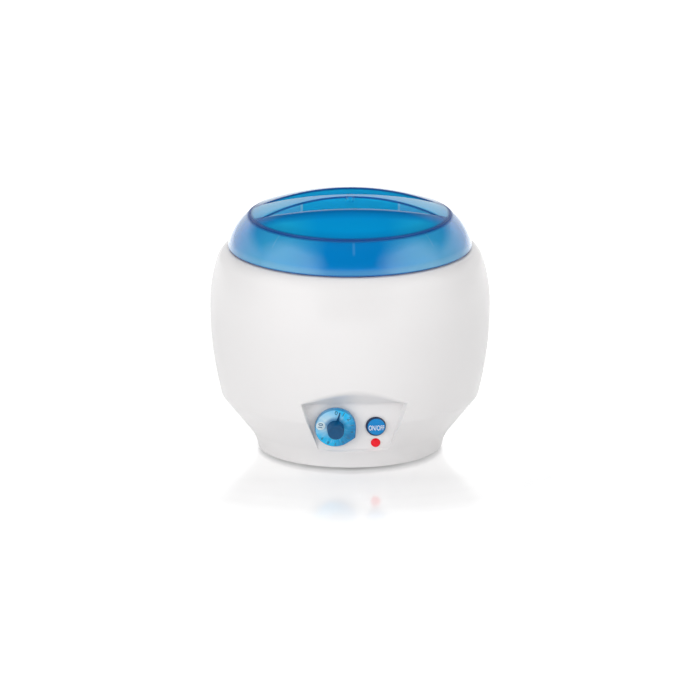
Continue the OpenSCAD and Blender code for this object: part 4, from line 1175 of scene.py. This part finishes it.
class MakeDial(Operator):
    """Models the dial with its beak, numbers and hub"""

    bl_idname = "warmer.make_dial"
    bl_label = "Make dial"

    def execute(self, context):
        c = context.scene.warmer_controls
        plane = panel_matrix(DIAL_CENTRE)
        high = c.dial_gap + c.dial_height
        layers = [(inset, c.dial_gap + up) for inset, up in mm((0.5, 0), (0.12, 0.15), (0, 0.6))]
        crown = mm((0, -1.3), (0.12, -0.9), (0.45, -0.45), (1.0, -0.2), (2.0, -0.1))
        layers += [(inset, high + up) for inset, up in crown]
        outlines = [dial_outline(c.dial_radius, c.beak_reach, inset) for inset, _ in layers]
        disc = layered(outlines, [z for _, z in layers], plane @ turn_about(c.beak_angle))
        mesh_piece("dial_disc", disc, "dial", "dial_blue", dial_plastic(c), ["dial"], sharp=60)
        self.make_hub(c, plane, high)
        self.make_numbers(c, plane, high - 0.1 * MM)
        return {"FINISHED"}

    def make_hub(self, c, plane, foot):
        """The dark hub with a dished face, and the pointer at its foot."""
        top = foot + c.hub_height
        edge = 0.7 * MM
        profile = [(0, foot - 0.2 * MM), (c.hub_low, foot - 0.2 * MM), (c.hub_low, foot + 0.5 * MM)]
        profile += [(c.hub_high + 0.1 * MM, top - edge), *rounded(c.hub_high, top, edge, (0.4, 0.8, 1.2))]
        profile += [(c.hub_high - inset, top - drop) for inset, drop in mm((0.7, 0), (1.3, 0.05), (2.0, 0.5))]
        profile += [(0, top - 0.6 * MM)]
        root, tip = c.hub_low - MM, c.dial_radius - 1.6 * MM
        outline = [(root, -1.1 * MM), (tip - 0.5 * MM, -0.35 * MM), (tip, 0), (tip - 0.5 * MM, 0.35 * MM)]
        outline += [(root, 1.1 * MM)]
        turn = plane @ turn_about(math.radians(POINTER))
        pointer = layered([outline, outline], [foot - 0.3 * MM, foot + 0.35 * MM], turn)
        hub = joined(turned(profile, matrix=plane), pointer)
        material = glossy_plastic("hub_plastic", c.hub_colour, 0.22)
        mesh_piece("dial_hub_cap", hub, "dial", "hub_navy", material, ["dial_hub"])

    def make_numbers(self, c, plane, face):
        """Numbers round the dial, and the highest one on a pale spot."""
        teal = print_ink("dial_ink", (0.0, 0.13, 0.26))
        pale = print_ink("spot_ink", (0.72, 0.86, 0.93))
        for i in range(10):
            turn = math.radians(FIRST_NUMBER - NUMBER_STEP * i)
            at = on_ring(plane, c.dial_radius - 2.7 * MM, turn, face + 0.03 * MM) @ turn_about(turn - QUARTER)
            size = 4.6 if i < 3 else 3.2
            lettering(f"dial_number_{i}", str(i), size * MM, at, "dial", teal, 0.05 * MM)
        turn = math.radians(HIGHEST_NUMBER)
        spot = on_ring(plane, 11.2 * MM, turn, face)
        disc = turned(mm((0, 0), (3.3, 0), (3.4, 0.05), (3.3, 0.1), (0, 0.1)), 48, spot)
        mesh_piece("dial_spot", disc, "dial", "dial_blue", pale)
        at = spot @ Matrix.Translation((0, 0, 0.13 * MM)) @ turn_about(turn - QUARTER)
        lettering("dial_number_10", "10", 4.6 * MM, at, "dial", teal, 0.06 * MM)


class MakeButton(Operator):
    """Models the push button with its printed words"""

    bl_idname = "warmer.make_button"
    bl_label = "Make button"

    def execute(self, context):
        c = context.scene.warmer_controls
        plane = panel_matrix(BUTTON_CENTRE)
        radius, proud = c.button_radius, c.button_proud
        key, back, edge = proud - 0.6 * MM, -5.4 * MM, 1.0 * MM
        profile = [(0, back), (radius - 0.2 * MM, back), (radius, back + 0.2 * MM)]
        profile += [*rounded(radius, key, edge, np.radians((0, 20, 40, 60, 80))), (radius - edge, key), (0, key)]
        # Painted shade: the key is made in a dark navy copy of the button's plastic, so that a dark crescent shows on
        # the left of its face
        dark = glossy_plastic("button_shade_plastic", c.button_dark, 0.3)
        mesh_piece("button_key", turned(profile, matrix=plane), "button", "button_blue", dark, ["button_cap"])
        self.make_face(c, plane @ Matrix.Translation((0.4 * MM, 0.45 * MM, 0)))
        white = print_ink("button_ink", (0.92, 0.94, 0.96))
        narrow = Matrix.Diagonal((0.57, 1.0, 1.0, 1.0))
        at = plane @ Matrix.Translation((0.45 * MM, -0.3 * MM, proud - 0.01 * MM)) @ narrow
        lettering("button_words", "ON/OFF", 5.6 * MM, at, "button", white, 0.03 * MM)
        return {"FINISHED"}

    def make_face(self, c, plane):
        """The face of the key in the button's blue, set a little to one side so that the key's dark painted shade
        shows as a crescent on the left.
        """
        radius, high, top = c.button_radius - 0.65 * MM, c.button_proud - 0.45 * MM, c.button_proud - 0.03 * MM
        profile = [(0, high - 0.6 * MM)]
        profile += [(radius - inset, high + up) for inset, up in mm((0, -0.6), (0, -0.25), (0.1, -0.05), (0.4, 0.12))]
        profile += [(radius * share, top - (top - high - 0.12 * MM) * share**2) for share in (0.8, 0.6, 0.4, 0.2, 0.0)]
        material = glossy_plastic("button_plastic", c.button_colour, 0.22)
        mesh_piece("button_face", turned(profile, matrix=plane), "button", "button_blue", material)


class MakeLens(Operator):
    """Models the red lens of the indicator lamp"""

    bl_idname = "warmer.make_lens"
    bl_label = "Make lens"

    def execute(self, context):
        c = context.scene.warmer_controls
        radius = c.lens_radius
        collar, back, under, over = 4.2 * MM, -7.6 * MM, -3.8 * MM, -2.62 * MM
        profile = [(0, back), (radius, back), (radius, under), (collar, under), (collar, over), (radius, over)]
        low, rise = 0.35 * MM, 1.15 * MM
        turns = np.radians((0, 15, 30, 45, 60, 75, 90))
        profile += [(radius * math.cos(a), low + rise * math.sin(a)) for a in turns]
        lens = turned(profile, 72, panel_matrix(LENS_CENTRE))
        material = glossy_plastic("lens_plastic", c.lens_colour, 0.16, glow=0.06)
        mesh_piece("lens_cap", lens, "base", "lens_red", material, ["lamp_lens"])
        return {"FINISHED"}


SLEEVES = {
    "lead_live": ("brown", (0.16, 0.06, 0.025)),
    "lead_link": ("black", (0.02, 0.02, 0.02)),
    "lead_feed": ("red", (0.4, 0.02, 0.015)),
    "lead_heater": ("red_heater", (0.4, 0.02, 0.015)),
    "lead_neutral": ("blue", (0.02, 0.06, 0.35)),
    "lead_earth": ("green", (0.04, 0.3, 0.05)),
    "lamp_leads": ("grey", (0.05, 0.05, 0.05)),
}


class FinishInside(Operator):
    """Gives the bowl, the well, the base and the pieces inside their materials"""

    bl_idname = "warmer.finish_inside"
    bl_label = "Finish inside"

    def execute(self, context):
        bowl = (68 * MM, 9 * MM, 0.75 * MM, BOWL_LOW.z, BOWL_HIGH.z)
        steel = (
            "base_screws heater_clamp_screw shield_screws well_nut thermostat_screws thermostat_shaft "
            "sensor_clip thermal_fuse fuse_clip switch_screws"
        )
        finishes = {
            "base_plate": moulded_plastic("plate_plastic", (0.72, 0.72, 0.72), 0.5, 700.0, 0.3),
            "rubber_feet": silicone("foot_rubber", (0.03, 0.03, 0.03)),
            "heating_well": spun_metal("well_metal", (0.7, 0.71, 0.72), 0.36),
            "well_seal": silicone("seal_silicone", (0.45, 0.06, 0.035)),
            "wax_bowl": spun_metal("bowl_metal", (0.92, 0.93, 0.94), 0.36, cup=bowl),
            "band_heater": moulded_plastic("mica", (0.46, 0.38, 0.22), 0.4, 300.0, 0.2),
            "insulation_wrap": felt("wrap_felt", (0.8, 0.76, 0.62)),
            "heat_shield well_spacer": spun_metal("shield_sheet", (0.72, 0.73, 0.74), 0.34, 500.0),
            "earth_tag terminal_screws": plain_metal("brass", (0.78, 0.56, 0.22), 0.28),
            "thermostat_body": moulded_plastic("phenolic", (0.035, 0.025, 0.02)),
            steel: plain_metal("zinc_steel", (0.66, 0.66, 0.68)),
            "sensor_bulb capillary_tube": plain_metal("copper", (0.72, 0.34, 0.17), 0.25),
            "switch_body button_plunger lamp_holder terminal_block": moulded_plastic("nylon", (0.84, 0.8, 0.68), 0.42),
            "button_spring": plain_metal("spring_wire", (0.5, 0.5, 0.52)),
            "neon_lamp": lamp_glass(),
            "cord_gland": silicone("gland_rubber", (0.02, 0.02, 0.02)),
        }
        for node, (name, shade) in SLEEVES.items():
            finishes[node] = moulded_plastic("sleeve_" + name, shade)
        for nodes, material in finishes.items():
            for node in nodes.split():
                self.finish(frame["nodes"][node], material)
        return {"FINISHED"}

    def finish(self, piece, material):
        """Puts one material in all of a node's slots."""
        if not piece.material_slots:
            piece.data.materials.append(material)
        for place in piece.material_slots:
            place.material = material


# Place and size of each lamp
LAMPS = {
    "left_softbox": ((-1.4, -1.3, 0.5), (1.6, 0.8)),
    "right_softbox": ((1.4, -1.1, 0.8), (1.6, 0.9)),
    "front_fill": ((0, -1.9, 1.1), (1.6, 0.8)),
    "top_fill": ((0, 0.1, 1.9), (1.8, 1.8)),
}
TABLE_HALF = 6.0
SENSOR = 36


def aimed(holder, place, direction):
    """Puts the camera or a lamp at a place, looking in a direction."""
    holder.location = place
    holder.rotation_mode = "QUATERNION"
    holder.rotation_quaternion = direction.to_track_quat("-Z", "Y")


class MakeStage(Operator):
    """Sets the table, the backdrop, the softboxes and the camera"""

    bl_idname = "warmer.make_stage"
    bl_label = "Make stage"

    def execute(self, context):
        s = context.scene.warmer_stage
        context.scene.view_settings.view_transform = "Standard"
        self.make_camera(context, s)
        self.make_table(s)
        self.make_world(context, s)
        powers = (s.left_power, s.right_power, s.front_power, s.top_power)
        for (name, (place, size)), watts in zip(LAMPS.items(), powers):
            self.make_softbox(name, place, size, watts)
        return {"FINISHED"}

    def make_camera(self, context, s):
        """A camera far off with a long lens, at the photograph's angle."""
        camera = bpy.data.cameras.new("camera")
        camera.sensor_width = SENSOR
        camera.lens = SENSOR * s.distance / s.view_width
        camera.clip_end = 50
        flat = math.cos(s.elevation)
        back = Vector((math.sin(s.azimuth) * flat, -math.cos(s.azimuth) * flat, math.sin(s.elevation)))
        context.scene.camera = placed("camera", camera)
        aimed(context.scene.camera, Vector((0, 0, s.aim)) + back * s.distance, -back)

    def make_table(self, s):
        """A pale glossy table that keeps the warmer's shadow and reflection."""
        mesh = bpy.data.meshes.new("table_top")
        corners = [(x * TABLE_HALF, y * TABLE_HALF, 0) for x, y in ((-1, -1), (1, -1), (1, 1), (-1, 1))]
        mesh.from_pydata(corners, [], [(0, 1, 2, 3)])
        table = placed("table_top", mesh)
        finish = Finish("table_white")
        place = finish.place()
        haze = finish.noise(place, 3.0)
        x, y, _ = finish.split(place)
        away = distance(x, y)
        straight_on, gloss = finish.seen()
        bare = away.above(0.21, 0.08).most(y.above(-0.045, 0.09))
        lift = s.table_lift + bare * (s.table_open - s.table_lift)
        lift = lift + away.above(0.7, 0.8) * (s.table_far - s.table_open)
        glow = finish.mix(straight_on.most(gloss) * lift, (0.0, 0.0, 0.0), (1.0, 1.0, 1.0))
        shared = {"Base_Color": (s.table, s.table, s.table), "Emission_Color": glow, "Emission_Strength": 1.0}
        polished = finish.principled(**shared, Roughness=0.09 + haze * 0.02, IOR=3.0)
        matt = finish.principled(**shared, Roughness=0.5, IOR=1.15)
        fade = away.above(0.19, 0.09).most(1 - straight_on)
        mesh.materials.append(finish.output(finish.blended(fade, polished, matt)))

    def make_world(self, context, s):
        """White round the horizon where it is seen, and an even level for the room's light."""
        world = Finish("studio", bpy.data.worlds)
        across, depth, height = world.split(world.node("ShaderNodeTexCoord", out=("Generated",)))
        overhead = height.above(0.4, 0.2)
        beside = abs(across).above(0.47, 0.28) * depth.below(0.15, 0.4) * height.below(0.85, 0.25)
        facing = depth.below(-0.82, 0.3) * height.above(-0.08, 0.08)
        level = (1 - overhead * (1 - s.overhead)) * (1 - facing * s.front)
        shown = level.most(beside * s.sides)
        straight_on, gloss = world.seen()
        mirrored = gloss * (1 - straight_on)
        strength = straight_on + mirrored * shown + (1 - straight_on) * (1 - gloss) * s.ambient
        background = world.node("ShaderNodeBackground", {"Color": (1, 1, 1, 1), "Strength": strength})
        context.scene.world = world.output(background, kind="ShaderNodeOutputWorld")

    def make_softbox(self, name, place, size, watts):
        """A soft rectangular lamp aimed at the warmer."""
        lamp = bpy.data.lights.new(name, "AREA")
        lamp.shape = "RECTANGLE"
        lamp.size, lamp.size_y = size
        lamp.energy = watts
        holder = placed(name, lamp)
        holder.visible_glossy = False
        aimed(holder, place, Vector((0, 0, 0.1)) - Vector(place))


class WarmerPanel(Panel):
    """Lists the steps that model the warmer"""

    bl_idname = "VIEW3D_PT_wax_warmer"
    bl_label = "Wax Warmer"
    bl_space_type = "VIEW_3D"
    bl_region_type = "UI"
    bl_category = "Wax Warmer"

    def draw(self, context):
        for step in STEPS:
            self.layout.operator(step.bl_idname)


STEPS = (MakeStage, MakeHousing, MakeLid, MakeDial, MakeButton, MakeLens, FinishInside)
SETTINGS = {
    "warmer_housing": HousingSettings,
    "warmer_recess": RecessSettings,
    "warmer_lid": LidSettings,
    "warmer_controls": ControlSettings,
    "warmer_stage": StageSettings,
}
CLASSES = (*SETTINGS.values(), *STEPS, WarmerPanel)


def register():
    for kind in CLASSES:
        bpy.utils.register_class(kind)
    for name, group in SETTINGS.items():
        setattr(bpy.types.Scene, name, PointerProperty(type=group))


def unregister():
    for name in SETTINGS:
        delattr(bpy.types.Scene, name)
    for kind in reversed(CLASSES):
        bpy.utils.unregister_class(kind)


def main():
    """Models everything."""
    register()
    bpy.ops.warmer.make_stage()
    bpy.ops.warmer.make_housing()
    bpy.ops.warmer.make_lid()
    bpy.ops.warmer.make_dial()
    bpy.ops.warmer.make_button()
    bpy.ops.warmer.make_lens()
    bpy.ops.warmer.finish_inside()


if __name__ == "__main__":
    main()
